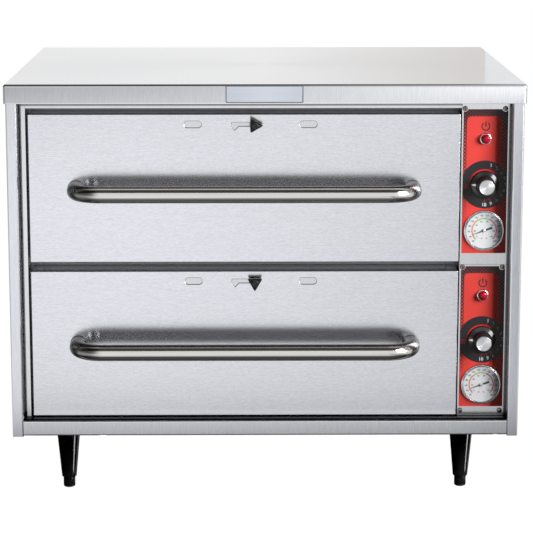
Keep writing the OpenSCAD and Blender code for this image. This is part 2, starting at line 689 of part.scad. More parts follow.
module food_pan() {
  translate([dr_cx, pan_cy, 0]) difference() {
    union() {
      translate([0, 0, rim_z - pan_depth]) linear_extrude(pan_depth) round_rect(pan_l - 46, pan_w - 46, 40);
      translate([0, 0, rim_z - 1.5]) linear_extrude(1.5) round_rect(pan_l, pan_w, 30);
    }
    translate([0, 0, rim_z - pan_depth + 1]) linear_extrude(pan_depth + 2) round_rect(pan_l - 48, pan_w - 48, 39);
  }
}
module vent_slide() {
  y0 = y_face + sheet + 0.3;
  difference() {
    union() {
      box([-132, y0, vent_z - 10], [114, y0 + 1.2, vent_z + 10]);
      rod_y(y0, y0 + 6, knob_x, vent_z, 5);
    }
    for (x = [vent_xl, vent_xr]) slot_y(x + vent_travel, vent_z, 25, 9.6, y0 - 1, y0 + 3);
    rod_y(y0 - 1, y0 + 8, knob_x, vent_z, 2.35);
  }
}
// three-lobed clamp knob with its stud
module vent_knob(turn) {
  translate([knob_x, 0, vent_z]) union() {
    rod_y(y_face - 21, y_face - 0.3, 0, 0, 6.3);
    for (i = [0:2]) rotate([0, turn + i * 120, 0]) union() {
      box([0, y_face - 19, -2.8], [9.6, y_face - 9.5, 2.8]);
      rod_y(y_face - 19, y_face - 9.5, 9.6, 0, 2.8);
    }
    rod_y(y_face - 6, y_face + 6.5, 0, 0, 2.3);
  }
}

module upper_drawer_front() { color(steel) drawer_front(); }
module upper_drawer_inner_panel() { color(steel) drawer_inner_panel(); }
module upper_drawer_insulation() { color("khaki") drawer_insulation(); }
module upper_handle() { color("gainsboro") handle_tube(); }
module upper_handle_bolts() { color("gray") handle_bolts(); }
module upper_drawer_frame() { color("lightgray") drawer_frame(); }
module upper_food_pan() { color("gainsboro") food_pan(); }
module upper_vent_slide() { color("whitesmoke") vent_slide(); }
module upper_vent_knob() { color(dark) vent_knob(0); }
module lower_drawer_front() { color(steel) down(1) drawer_front(); }
module lower_drawer_inner_panel() { color(steel) down(1) drawer_inner_panel(); }
module lower_drawer_insulation() { color("khaki") down(1) drawer_insulation(); }
module lower_handle() { color("gainsboro") down(1) handle_tube(); }
module lower_handle_bolts() { color("gray") down(1) handle_bolts(); }
module lower_drawer_frame() { color("lightgray") down(1) drawer_frame(); }
module lower_food_pan() { color("gainsboro") down(1) food_pan(); }
module lower_vent_slide() { color("whitesmoke") down(1) vent_slide(); }
module lower_vent_knob() { color(dark) down(1) vent_knob(90); }

top_panel();
left_side_panel();
right_side_panel();
back_panel();
base_pan();
face_frame();
cavity_side_walls();
cavity_back_wall();
cavity_decks();
insulation();
sensor_lines();
drawer_tracks();
heating_elements();
control_plates();
control_overlays();
lamp_bezels();
lamp_lenses();
thermostats();
gauge_cases();
gauge_dials();
gauge_windows();
screws();
legs();
badge_plate();
cord_gland();
terminal_block();
upper_drawer_front();
upper_drawer_inner_panel();
upper_drawer_insulation();
upper_handle();
upper_handle_bolts();
upper_drawer_frame();
upper_food_pan();
lower_drawer_front();
lower_drawer_inner_panel();
lower_drawer_insulation();
lower_handle();
lower_handle_bolts();
lower_drawer_frame();
lower_food_pan();
upper_front_rollers();
upper_rear_rollers();
lower_front_rollers();
lower_rear_rollers();
upper_vent_slide();
upper_vent_knob();
lower_vent_slide();
lower_vent_knob();
upper_knob();
upper_knob_cap();
upper_knob_shaft();
lower_knob();
lower_knob_cap();
lower_knob_shaft();
upper_gauge_needle();
lower_gauge_needle();
front_left_foot();
front_right_foot();
back_left_foot();
back_right_foot();
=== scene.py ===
import math

import bmesh
import bpy
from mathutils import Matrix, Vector
from mathutils.geometry import tessellate_polygon


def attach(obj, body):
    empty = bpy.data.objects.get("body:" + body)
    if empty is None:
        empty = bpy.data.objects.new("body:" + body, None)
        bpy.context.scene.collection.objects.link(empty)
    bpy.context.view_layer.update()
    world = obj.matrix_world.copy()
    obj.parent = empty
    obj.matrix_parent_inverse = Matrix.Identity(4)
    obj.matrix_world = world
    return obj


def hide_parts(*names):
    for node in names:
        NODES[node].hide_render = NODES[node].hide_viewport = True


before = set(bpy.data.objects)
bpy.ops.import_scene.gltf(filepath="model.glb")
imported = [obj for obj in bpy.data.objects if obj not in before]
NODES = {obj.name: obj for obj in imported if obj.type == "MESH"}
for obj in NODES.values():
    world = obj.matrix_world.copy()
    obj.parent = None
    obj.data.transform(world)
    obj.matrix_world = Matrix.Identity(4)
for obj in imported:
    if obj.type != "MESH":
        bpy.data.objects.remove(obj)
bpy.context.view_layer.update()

# Free-standing two-drawer food warmer. Lengths below are millimetres unless they go straight to Blender.
SCENE = bpy.context.scene
MM = 0.001

Y_TOP, Y_FL, Y_FACE, Y_OVL = -275.0, -273.5, -249.5, -249.75
Y_INNER, Y_BK, Y_BACK = -204.5, 299.5, 301.0
Z_HEM, Z_TOP, Z_SIDE0, Z_SIDE1, Z_RAIL, Z_BASE = 593.0, 621.0, 101.0, 619.5, 125.0, 102.3
SHEET, PITCH = 1.2, 231.0
CX, DIAL_Z, GAUGE_Z, LAMP_Z = 318.8, 472.0, 405.0, 539.0
VENT_Z, VENT_XL, VENT_XR, KNOB_X = 560.4, -104.4, 62.8, -15.0
HANDLE_Z = 466.4
SETS = (("upper", 0.0), ("lower", -PITCH))


# ---------------------------------------------------------------- mesh helpers
class Geo:
    """Vertices and faces in millimetres, gathered from several shapes."""

    def __init__(self):
        self.v, self.f, self.m = [], [], []

    def add(self, verts, faces, mat=0):
        o = len(self.v)
        self.v += [tuple(p) for p in verts]
        self.f += [tuple(i + o for i in q) for q in faces]
        self.m += [mat] * len(faces)

    def loft(self, loops, wrap=True, cap0=False, cap1=False, ring=False, mat=0):
        """Quads between loops of the same length; wrap closes each loop, ring joins the last loop to the first."""
        n, v, f = len(loops[0]), [p for l in loops for p in l], []
        pairs = [(k, k + 1) for k in range(len(loops) - 1)] + ([(len(loops) - 1, 0)] if ring else [])
        for a, b in pairs:
            for i in range(n if wrap else n - 1):
                j = (i + 1) % n
                f.append((a * n + i, a * n + j, b * n + j, b * n + i))
        if cap0:
            f += [tuple(reversed(t)) for t in fill([loops[0]])]
        if cap1:
            o = (len(loops) - 1) * n
            f += [tuple(i + o for i in t) for t in fill([loops[-1]])]
        self.add(v, f, mat)

    def lathe(self, prof, place, n=64, closed=False, mat=0, tweak=None):
        """Turns (radius, height) points; place(x, y, h) puts a point of the turned shape into the row frame."""
        loops = []
        for k, (r, h) in enumerate(prof):
            loop = []
            for i in range(n):
                a = 2 * math.pi * i / n
                q = r + (tweak(k, i, r) if tweak else 0.0)
                loop.append(place(q * math.cos(a), q * math.sin(a), h))
            loops.append(loop)
        self.loft(loops, ring=closed, mat=mat)

    def build(self, name, mats, angle=32, weld=True, outward=True, flat=False):
        me = bpy.data.meshes.new(name)
        bm = bmesh.new()
        vs = [bm.verts.new((x * MM, y * MM, z * MM)) for x, y, z in self.v]
        for q, m in zip(self.f, self.m):
            if len(set(q)) > 2:
                try:
                    bm.faces.new([vs[i] for i in q]).material_index = m
                except ValueError:
                    pass
        if weld:
            bmesh.ops.remove_doubles(bm, verts=bm.verts, dist=2e-6)
        bmesh.ops.dissolve_degenerate(bm, dist=1e-7, edges=bm.edges)
        bmesh.ops.recalc_face_normals(bm, faces=bm.faces)
        if not outward:
            bmesh.ops.reverse_faces(bm, faces=bm.faces)
        bm.to_mesh(me)
        bm.free()
        me.polygons.foreach_set("use_smooth", [not flat] * len(me.polygons))
        if not flat:
            me.set_sharp_from_angle(angle=math.radians(angle))
        for m in mats if isinstance(mats, (list, tuple)) else [mats]:
            me.materials.append(m)
        ob = bpy.data.objects.new(name, me)
        SCENE.collection.objects.link(ob)
        return ob


def fill(loops):
    """Triangles over a flat outline with holes; the indices run through all loops in turn."""
    return [tuple(t) for t in tessellate_polygon([[Vector(p) for p in l] for l in loops])]


def round_rect(x0, x1, y0, y1, r, n=6):
    """Corner-rounded rectangle, counter-clockwise."""
    r = max(r, 0.01)
    out = []
    for cx, cy, a0 in ((x1 - r, y1 - r, 0), (x0 + r, y1 - r, 90), (x0 + r, y0 + r, 180), (x1 - r, y0 + r, 270)):
        for i in range(n + 1):
            a = math.radians(a0 + 90 * i / n)
            out.append((cx + r * math.cos(a), cy + r * math.sin(a)))
    return out


def stadium(cx, cy, l, h, n=10):
    out = []
    for s, a0 in ((1, -90), (-1, 90)):
        for i in range(n + 1):
            a = math.radians(a0 + 180 * i / n)
            out.append((cx + s * (l - h) / 2 + h / 2 * math.cos(a), cy + h / 2 * math.sin(a)))
    return out


def fillet(pts, r, seg=5):
    """Open path with its inner corners rounded."""
    out = [Vector(pts[0])]
    for a, b, c in zip(pts, pts[1:], pts[2:]):
        a, b, c = Vector(a), Vector(b), Vector(c)
        u, w = (a - b).normalized(), (c - b).normalized()
        half = math.acos(max(-1, min(1, u.dot(w)))) / 2
        if half > math.pi / 2 - 0.02:
            out.append(b)
            continue
        d = min(r / math.tan(half), 0.48 * (a - b).length, 0.48 * (c - b).length)
        q = d * math.tan(half)
        mid = b + (u + w).normalized() * (q / math.sin(half))
        p0, p1 = b + u * d - mid, b + w * d - mid
        turn = math.atan2(p0.x * p1.y - p0.y * p1.x, p0.dot(p1))
        for i in range(seg + 1):
            t = turn * i / seg
            out.append(mid + Vector((p0.x * math.cos(t) - p0.y * math.sin(t), p0.x * math.sin(t) + p0.y * math.cos(t))))
    out.append(Vector(pts[-1]))
    return out


def bent(path, t, r, seg=5):
    """Closed outline of a bent sheet of thickness t about a centre line."""
    p = fillet(path, r, seg)
    left, right = [], []
    for i, q in enumerate(p):
        d = (p[min(i + 1, len(p) - 1)] - p[max(i - 1, 0)]).normalized()
        nrm = Vector((-d.y, d.x)) * (t / 2)
        left.append(q + nrm)
        right.append(q - nrm)
    return [tuple(q) for q in left + right[::-1]]


def smooth_profile(pts, r, seg=3):
    return [tuple(p) for p in fillet(pts, r, seg)]


def grow(outline, o):
    """Closed flat outline moved outwards by o, corners mitred."""
    n = len(outline)
    turn = sum(a[0] * b[1] - b[0] * a[1] for a, b in zip(outline, outline[1:] + outline[:1]))
    s = 1.0 if turn > 0 else -1.0
    out = []
    for i in range(n):
        a, b, c = (Vector(outline[(i + k) % n]) for k in (-1, 0, 1))
        e0, e1 = (b - a), (c - b)
        e0 = e0.normalized() if e0.length > 1e-6 else e1.normalized()
        e1 = e1.normalized() if e1.length > 1e-6 else e0
        n0, n1 = Vector((e0.y, -e0.x)) * s, Vector((e1.y, -e1.x)) * s
        m = n0 + n1
        m = m / max(m.dot(n0), 0.4)
        out.append((b.x + m.x * o, b.y + m.y * o))
    return out


def pan_shell(geo, x0, x1, y0, y1, r, depth, place, holes=(), rc=None, tail=(), seg=6, mat=0, rim=0.0):
    """Outer skin of a sheet pan: a flat face with holes, rounded bends and four walls. place(u, v, d) gives row-frame points,
    d being the distance behind the face."""
    rc = rc or r + 0.4
    loops = []
    for i in range(seg + 1):
        t = math.radians(90 * i / seg)
        ins, d = r * (1 - math.sin(t)), r * (1 - math.cos(t))
        loops.append((ins, d))
    loops.append((0.0, depth))
    loops += list(tail)
    rings = []
    for ins, d in loops:
        rings.append([place(u, v, d) for u, v in round_rect(x0 + ins, x1 - ins, y0 + ins, y1 - ins, rc - ins)])
    geo.loft(rings, mat=mat)
    outer = round_rect(x0 + r, x1 - r, y0 + r, y1 - r, rc - r)
    if rim:
        # punched holes: their edge rolls inwards
        for h in holes:
            rings = []
            for i in range(5):
                t = math.radians(90 * i / 4)
                rings.append([place(u, v, rim * (1 - math.cos(t))) for u, v in grow(h, rim * (1 - math.sin(t)))])
            rings.append([place(u, v, SHEET) for u, v in h])
            geo.loft(rings, mat=mat)
        holes = [grow(h, rim) for h in holes]
    flat = [[(u, v, 0.0) for u, v in outer]] + [[(u, v, 0.0) for u, v in h] for h in holes]
    pts = [place(u, v, 0.0) for l in flat for u, v, _ in l]
    geo.add(pts, fill(flat), mat)


def modifier(ob, kind, **values):
    m = ob.modifiers.new(kind.lower(), kind)
    for k, v in values.items():
        setattr(m, k, v)
    return m


def sheet_finish(ob, t=SHEET, edge=0.3):
    modifier(ob, "SOLIDIFY", thickness=t * MM, offset=-1.0, use_even_offset=True, use_rim=True)
    modifier(ob, "BEVEL", width=edge * MM, segments=2, limit_method="ANGLE", angle_limit=math.radians(55), harden_normals=False)
    modifier(ob, "WEIGHTED_NORMAL", keep_sharp=True)


def put(ob, body, slot, *nodes):
    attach(ob, body)
    if nodes:
        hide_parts(*nodes)
    return ob


def at_y(cx, cz, y0):
    """Places a turned shape whose axis runs along Y and whose heights go forward from y0."""
    return lambda a, b, h: (cx + a, y0 - h, cz + b)


def at_z(cx, cy):
    return lambda a, b, h: (cx + a, cy + b, h)


# ---------------------------------------------------------------- shader helpers
class Val:
    """A number in a shader tree that can be calculated with."""

    def __init__(self, tree, sock):
        self.tree, self.sock = tree, sock

    def math(self, op, *more, clamp=False):
        n = self.tree.nodes.new("ShaderNodeMath")
        n.operation, n.use_clamp = op, clamp
        for i, v in enumerate((self,) + more):
            if isinstance(v, Val):
                self.tree.links.new(v.sock, n.inputs[i])
            else:
                n.inputs[i].default_value = float(v)
        return Val(self.tree, n.outputs[0])

    def __add__(self, o): return self.math("ADD", o)
    __radd__ = __add__
    def __sub__(self, o): return self.math("SUBTRACT", o)
    def __rsub__(self, o): return self.math("MULTIPLY", -1.0).math("ADD", o)
    def __mul__(self, o): return self.math("MULTIPLY", o)
    __rmul__ = __mul__
    def __truediv__(self, o): return self.math("DIVIDE", o)
    def lt(self, o): return self.math("LESS_THAN", o)
    def gt(self, o): return self.math("GREATER_THAN", o)
    def max(self, o): return self.math("MAXIMUM", o)
    def min(self, o): return self.math("MINIMUM", o)
    def abs(self): return self.math("ABSOLUTE")
    def sqrt(self): return self.math("SQRT")
    def fract(self): return self.math("FRACT")
    def atan2(self, o): return self.math("ARCTAN2", o)

    def ramp(self, a, b, c=0.0, d=1.0, kind="SMOOTHSTEP"):
        n = self.tree.nodes.new("ShaderNodeMapRange")
        n.interpolation_type, n.clamp = kind, True
        self.tree.links.new(self.sock, n.inputs[0])
        for i, v in enumerate((a, b, c, d)):
            n.inputs[i + 1].default_value = v
        return Val(self.tree, n.outputs[0])

    def stops(self, lo, hi, pts):
        """Value read off a broken line of (position, number or colour)."""
        n = self.tree.nodes.new("ShaderNodeValToRGB")
        e = n.color_ramp.elements
        while len(e) > 1:
            e.remove(e[-1])
        for i, (p, c) in enumerate(pts):
            q = min(1.0, max(0.0, (p - lo) / (hi - lo)))
            k = e[0] if i == 0 else e.new(q)
            k.position = q
            k.color = (c, c, c, 1) if isinstance(c, (int, float)) else (*c, 1)
        self.tree.links.new(self.ramp(lo, hi, kind="LINEAR").sock, n.inputs[0])
        return Val(self.tree, n.outputs[0])


def mix(tree, fac, a, b):
    n = tree.nodes.new("ShaderNodeMix")
    n.data_type = "RGBA"
    n.clamp_factor = True
    for i, v in ((0, fac), (6, a), (7, b)):
        if isinstance(v, Val):
            tree.links.new(v.sock, n.inputs[i])
        elif i == 0:
            n.inputs[i].default_value = v
        else:
            n.inputs[i].default_value = (*v, 1.0)
    return Val(tree, n.outputs[2])


class Mat:
    """A Principled material with the object's own coordinates at hand."""

    def __init__(self, name, **sockets):
        self.m = bpy.data.materials.new(name)
        self.m.use_nodes = True
        self.t = self.m.node_tree
        self.b = next(n for n in self.t.nodes if n.type == "BSDF_PRINCIPLED")
        tc = self.t.nodes.new("ShaderNodeTexCoord")
        self.co = tc.outputs["Object"]
        sep = self.t.nodes.new("ShaderNodeSeparateXYZ")
        self.t.links.new(self.co, sep.inputs[0])
        self.x, self.y, self.z = (Val(self.t, o) for o in sep.outputs)
        for k, v in sockets.items():
            self.b.inputs[k.replace("_", " ")].default_value = v

    def noise(self, per, detail=2.0, rough=0.5, distort=0.0):
        """Noise whose features are per = (x, y, z) millimetres long; about 0 to 1."""
        mp = self.t.nodes.new("ShaderNodeMapping")
        self.t.links.new(self.co, mp.inputs[0])
        mp.inputs["Scale"].default_value = [1000.0 / p for p in per]
        n = self.t.nodes.new("ShaderNodeTexNoise")
        self.t.links.new(mp.outputs[0], n.inputs["Vector"])
        n.inputs["Scale"].default_value = 1.0
        n.inputs["Detail"].default_value = detail
        n.inputs["Roughness"].default_value = rough
        n.inputs["Distortion"].default_value = distort
        return Val(self.t, n.outputs[0])

    def voronoi(self, per, what="Distance", feature="F1"):
        mp = self.t.nodes.new("ShaderNodeMapping")
        self.t.links.new(self.co, mp.inputs[0])
        mp.inputs["Scale"].default_value = [1000.0 / p for p in per]
        n = self.t.nodes.new("ShaderNodeTexVoronoi")
        n.feature = feature
        self.t.links.new(mp.outputs[0], n.inputs["Vector"])
        n.inputs["Scale"].default_value = 1.0
        return Val(self.t, n.outputs[what])

    def color(self, a, b, fac):
        c = mix(self.t, fac, a, b)
        self.t.links.new(c.sock, self.b.inputs["Base Color"])
        return c

    def rough(self, v):
        self.t.links.new(v.sock, self.b.inputs["Roughness"])

    def bump(self, height, strength, distance):
        n = self.t.nodes.new("ShaderNodeBump")
        n.inputs["Strength"].default_value = strength
        n.inputs["Distance"].default_value = distance * MM
        self.t.links.new(height.sock, n.inputs["Height"])
        self.t.links.new(n.outputs[0], self.b.inputs["Normal"])

    def hollow(self, reach, lo=0.1, hi=0.75, dark=0.12):
        """Shade that gathers in narrow gaps: dark where little sky is within reach (mm), 1 in the open."""
        n = self.t.nodes.new("ShaderNodeAmbientOcclusion")
        n.samples = 8
        n.inputs["Distance"].default_value = reach * MM
        return Val(self.t, n.outputs["AO"]).ramp(lo, hi, dark, 1.0)

    def tangent(self, axis):
        n = self.t.nodes.new("ShaderNodeTangent")
        n.direction_type, n.axis = "RADIAL", axis
        self.t.links.new(n.outputs[0], self.b.inputs["Tangent"])


def shade(c, k):
    return tuple(min(1.0, v * k) for v in c)


def steel(name, base, rough, grain, amp=0.05, aniso=0.0, turn=0.0, across=1.6, along=26.0, bump=0.03, rvar=0.04, gap=None, mask=None, broad=0.22, softer=None, rim=False, streak=0.0):
    """Brushed sheet steel: streaks run along the grain axis or axes. gap = (reach, lo, hi, dark) shades narrow gaps, softer adds roughness in places."""
    m = Mat(name, Metallic=1.0, Anisotropic=aniso, Anisotropic_Rotation=turn)
    per = [along if a in grain else across for a in "XYZ"]
    fine = m.noise(per, detail=3.5, rough=0.72)
    if streak:
        fine = fine * (1.0 - streak) + m.noise([p * 6 if a in grain else p for a, p in zip("XYZ", per)], detail=2.5, rough=0.6) * streak
    wide = m.noise([p * 5 for p in per], detail=2.0)
    cloud = m.noise((180, 180, 180), detail=1.0)
    v = fine * (1.0 - broad) + wide * (broad * 0.6) + cloud * (broad * 0.4)
    c = m.color(shade(base, 1 - amp * 2.2), shade(base, 1 + amp * 2.2), v.ramp(0.22, 0.78, kind="LINEAR"))
    # gap and mask scale the base colour towards black as painted shade; on the hem the mask also lays a painted
    # reflection; with rim the same factor darkens the reflection's tint as painted shade
    if gap or mask:
        k = m.hollow(*gap) if gap else None
        if mask:
            k = mask(m) if k is None else k * mask(m)
        m.color((0.0, 0.0, 0.0), c, k)
        if rim:
            m.t.links.new(mix(m.t, k, (0.0, 0.0, 0.0), (1.0, 1.0, 1.0)).sock, m.b.inputs["Specular Tint"])
    r = (fine - 0.5) * (2 * rvar) + (cloud - 0.5) * (1.2 * rvar) + rough
    m.rough(r if softer is None else r + softer(m))
    m.bump(fine, bump, 0.05)
    if aniso:
        m.tangent("Z")
    return m.m


def plain_metal(name, base, rough, amp=0.05, per=6.0, bump=0.02, rvar=0.05, gap=None):
    m = Mat(name, Metallic=1.0)
    a = m.noise((per,) * 3, detail=4.0, rough=0.6)
    b = m.noise((per * 14,) * 3, detail=1.0)
    c = m.color(shade(base, 1 - amp * 2), shade(base, 1 + amp * 2), (a * 0.55 + b * 0.45).ramp(0.25, 0.75, kind="LINEAR"))
    # gap paints shade into narrow gaps, such as the dark ring round the screw heads
    if gap:
        m.color((0.0, 0.0, 0.0), c, m.hollow(*gap))
    m.rough((a - 0.5) * (2 * rvar) + rough)
    m.bump(a, bump, 0.05)
    return m.m


def plastic(name, base, rough, spec=0.5, per=2.0, bump=0.06, amp=0.12, coat=0.0):
    m = Mat(name, Specular_IOR_Level=spec, Coat_Weight=coat, Coat_Roughness=0.08)
    a = m.noise((per,) * 3, detail=3.0)
    b = m.noise((per * 20,) * 3, detail=2.0)
    m.color(shade(base, 1 - amp * 2), shade(base, 1 + amp * 2), (a * 0.4 + b * 0.6).ramp(0.25, 0.75, kind="LINEAR"))
    m.rough((b - 0.5) * 0.12 + (a - 0.5) * 0.06 + rough)
    m.bump(a, bump, 0.04)
    return m.m


# ---------------------------------------------------------------- materials
def return_wall(m):
    """The inward wall of the front flanges sits in the shade of the recess."""
    inner = (m.x.abs() * 1000.0).ramp(356.6, 358.4, 1.0, 0.0)
    deep = (m.y * 1000.0).ramp(-272.3, -270.0)
    return 1.0 - inner * deep * (m.x.gt(0.0) * 0.15 + 0.80)


def plate_edge(m):
    """The right margin of the control plates stands close to the side flange, in its shade."""
    return (m.x * 1000.0).ramp(351.8, 353.4, 1.0, 0.22)


def punched(m):
    """The lower edges of the vent slots turn up and inwards, out of the light."""
    n = m.t.nodes.new("ShaderNodeNewGeometry")
    sep = m.t.nodes.new("ShaderNodeSeparateXYZ")
    m.t.links.new(n.outputs["Normal"], sep.inputs[0])
    up = Val(m.t, sep.outputs[2])
    z = m.z * 1000.0 + m.z.lt(0.36) * PITCH - VENT_Z
    slot = 1.0 - up.ramp(0.12, 0.4) * z.abs().lt(10.5) * 0.72
    # upper wall of the front: lit in the middle of its depth, dark at the bend and at the back
    y = m.y * 1000.0
    wall = y.stops(-250, -204, [(-250, 1.0), (-248.6, 0.75), (-246, 0.55), (-240, 0.62), (-236, 1.35), (-224, 1.25), (-220, 0.6), (-204, 0.5)])
    turned = (Val(m.t, sep.outputs[1]) * -1.0).ramp(0.6, 0.9, 1.0, 0.0)
    # painted shade in the narrow gaps, only on faces that don't face the front
    gap = (m.hollow(40, 0.12, 0.62, 0.66) - 1.0) * turned + 1.0
    return gap * slot * ((wall - 1.0) * up.gt(0.8) * z.gt(12.0) + 1.0)


def ledge(m):
    """The top of the bottom rail lies in the shade under the lower drawer, a little lighter towards the back."""
    y = m.y * 1000.0
    return 1.0 - (m.z * 1000.0).ramp(123.6, 124.8) * y.ramp(-272.8, -270.5) * y.ramp(-270.0, -252.0, 0.90, 0.60)


def under_hem(m):
    """The upper edge of the face frame lies in the shade of the top's hem."""
    return (m.z * 1000.0).ramp(586.3, 588.3, 1.0, 0.34)


def bar_shade(m):
    """The back and the underside of the handle bars get little light."""
    rel = m.z * 1000.0 + m.z.lt(0.36) * PITCH - HANDLE_Z
    back = (m.y * 1000.0).ramp(-303.0, -299.0, 1.0, 0.36) * (m.x * 1000.0).ramp(-258.0, -232.0, 0.45, 1.0)
    return back * rel.stops(-12.5, 12.5, [(-12.0, 0.16), (-9.6, 0.22), (-8.8, 0.50), (-7.2, 0.58), (-5.0, 0.38), (-3.3, 0.36), (-2.3, 1.0), (9.6, 1.0), (10.8, 0.32), (12.0, 0.30)])


def bends(m):
    """The bent ends of the handles are polished less finely than the straight bar."""
    return (m.x * 1000.0 + 30.0).abs().ramp(218.0, 246.0, 0.0, 0.13)


def hem_sheen(m):
    """Painted reflection on the front hem: brighter towards its right end than the top itself, with a painted dark line
    at the bend above and a painted highlight on the lower edge.
    """
    front = (m.y * 1000.0).ramp(-273.6, -274.6) * (m.z * 1000.0).ramp(616.0, 618.5, 1.0, 0.0)
    tone = m.x.stops(-0.38, 0.38, [(-0.38, 0.60), (-0.2, 0.66), (0.0, 0.75), (0.2, 0.90), (0.34, 1.0), (0.38, 1.0)])
    lip = (m.z * 1000.0).ramp(594.0, 595.2, 1.0, 0.0)
    bend = (m.z * 1000.0).ramp(617.9, 618.9) * (m.y * 1000.0).ramp(-271.2, -272.2)
    dim = m.x.stops(-0.38, 0.38, [(-0.38, 0.86), (-0.1, 0.86), (0.1, 0.70), (0.25, 0.48), (0.38, 0.30)])
    return ((tone * (lip * 0.36 + 1.0) - 0.735) * front + 0.735) * (1.0 - bend * dim)


DRAWER = steel("drawer_steel", (0.70, 0.703, 0.745), 0.18, "XY", amp=0.105, aniso=0.5, turn=0.25, across=0.8, along=5.5, bump=0.004, rvar=0.012, mask=punched, broad=0.10, streak=0.22)
FLANGE = steel("side_steel", (0.685, 0.69, 0.73), 0.19, "YZ", amp=0.045, aniso=0.3, across=1.4, along=20, bump=0.01, rvar=0.012, mask=return_wall, broad=0.08)
TOP = steel("top_steel", (0.84, 0.846, 0.872), 0.15, "YZ", amp=0.045, aniso=0.5, across=1.2, along=18, bump=0.012, mask=hem_sheen, broad=0.08)
RAIL = steel("rail_steel", (0.70, 0.71, 0.745), 0.24, "Z", amp=0.045, across=1.2, along=16, bump=0.01, gap=(30, 0.1, 0.5, 0.5), mask=ledge, broad=0.1, rim=True)
PLATE = steel("plate_steel", (0.72, 0.725, 0.74), 0.2, "Z", amp=0.035, bump=0.01, gap=(14, 0.1, 0.6, 0.1), mask=plate_edge)
FRAME = steel("frame_steel", (0.70, 0.705, 0.73), 0.18, "XZ", amp=0.04, bump=0.01, gap=(30, 0.15, 0.55, 0.06), mask=under_hem)
BACK = steel("back_steel", (0.62, 0.625, 0.64), 0.3, "X", amp=0.05, along=14)
SLIDE = steel("slide_steel", (0.66, 0.66, 0.68), 0.26, "X", amp=0.04, gap=(7, 0.1, 0.8, 0.25))
LINER = steel("liner_steel", (0.60, 0.605, 0.62), 0.32, "Y", amp=0.05, along=60, across=3, gap=(40, 0.15, 0.7, 0.38))
PAN = steel("pan_steel", (0.64, 0.64, 0.65), 0.24, "XY", amp=0.03, across=4, along=60)
POLISHED = steel("handle_steel", (0.66, 0.648, 0.63), 0.145, "X", amp=0.03, along=60, across=0.8, bump=0.012, rvar=0.02, mask=bar_shade, softer=bends)
SCREW = plain_metal("screw_plating", (0.25, 0.24, 0.225), 0.2, amp=0.06, per=2, gap=(3.0, 0.35, 0.9, 0.06))
CHROME = plain_metal("bright_plating", (0.74, 0.745, 0.76), 0.16, amp=0.02, per=3, bump=0.01)
CAP = None


def bezel():
    """Bright plated rim; its deep inner wall, round the dial, gets little light."""
    m = Mat("bezel_plating", Metallic=1.0)
    x = m.x * 1000.0 - CX
    z = m.z * 1000.0 + m.z.lt(0.36) * PITCH - GAUGE_Z
    r = (x * x + z * z).sqrt()
    a = m.noise((3, 3, 3), detail=4.0, rough=0.6)
    c = m.color((0.72, 0.725, 0.74), (0.80, 0.805, 0.82), a)
    m.color((0.0, 0.0, 0.0), c, r.ramp(26.42, 26.75, 0.16, 1.0, "LINEAR"))
    m.rough((a - 0.5) * 0.08 + 0.15)
    m.bump(a, 0.01, 0.05)
    return m.m


SPRING = plain_metal("shaft_steel", (0.55, 0.55, 0.56), 0.3)


def zinc():
    m = Mat("zinc_plate", Metallic=1.0)
    cell = m.voronoi((7, 7, 7), "Color")
    fine = m.noise((1.5,) * 3, detail=3.0)
    g = m.noise((40,) * 3)
    m.color((0.44, 0.45, 0.47), (0.68, 0.685, 0.69), cell * 0.45 + g * 0.35 + fine * 0.2)
    m.rough(cell * 0.16 + fine * 0.06 + 0.24)
    m.bump(fine, 0.05, 0.05)
    return m.m


def wool():
    m = Mat("mineral_wool", Roughness=0.95, Specular_IOR_Level=0.2)
    a = m.noise((3, 14, 3), detail=5.0, rough=0.7, distort=0.8)
    b = m.noise((30, 60, 30), detail=3.0)
    m.color((0.42, 0.34, 0.16), (0.80, 0.72, 0.48), a * 0.6 + b * 0.4)
    m.bump(a, 0.8, 1.2)
    return m.m


def sheath():
    m = Mat("element_sheath", Metallic=0.9)
    a = m.noise((30, 30, 30), detail=3.0)
    b = m.noise((2, 2, 2), detail=4.0)
    m.color((0.10, 0.095, 0.09), (0.26, 0.22, 0.19), a * 0.7 + b * 0.3)
    m.rough(a * 0.2 + b * 0.1 + 0.35)
    m.bump(b, 0.12, 0.1)
    return m.m


def copper():
    m = Mat("copper_line", Metallic=1.0)
    a = m.noise((9, 20, 9), detail=3.0)
    b = m.noise((1.5, 4, 1.5), detail=3.0)
    m.color((0.44, 0.20, 0.11), (0.80, 0.47, 0.32), a * 0.7 + b * 0.3)
    m.rough(a * 0.2 + 0.2)
    m.bump(b, 0.05, 0.05)
    return m.m


def nylon():
    m = Mat("nylon", Roughness=0.4, Subsurface_Weight=0.15, Subsurface_Scale=0.002)
    a = m.noise((5, 5, 5), detail=3.0)
    b = m.noise((0.8, 9, 9), detail=2.0)
    m.color((0.70, 0.67, 0.57), (0.88, 0.86, 0.78), a * 0.6 + b * 0.4)
    m.rough(a * 0.14 + 0.34)
    m.bump(b, 0.06, 0.05)
    return m.m


def spun():
    m = Mat("spun_aluminium", Metallic=1.0, Anisotropic=0.92, Anisotropic_Rotation=0.25)
    # rings about the knob's own axis, which is the same in X for both knobs
    z = m.z * 1000.0 + m.z.lt(0.36) * PITCH - DIAL_Z
    x = m.x * 1000.0 - CX
    r = (x * x + z * z).sqrt()
    wave = (r * 14.0).math("SINE") * 0.5 + 0.5
    cloud = m.noise((4, 4, 4), detail=3.0)
    m.color((0.64, 0.645, 0.66), (0.82, 0.825, 0.845), wave * 0.6 + cloud * 0.4)
    m.rough(wave * 0.03 + 0.28)
    m.bump(wave, 0.015, 0.02)
    m.tangent("Y")
    return m.m


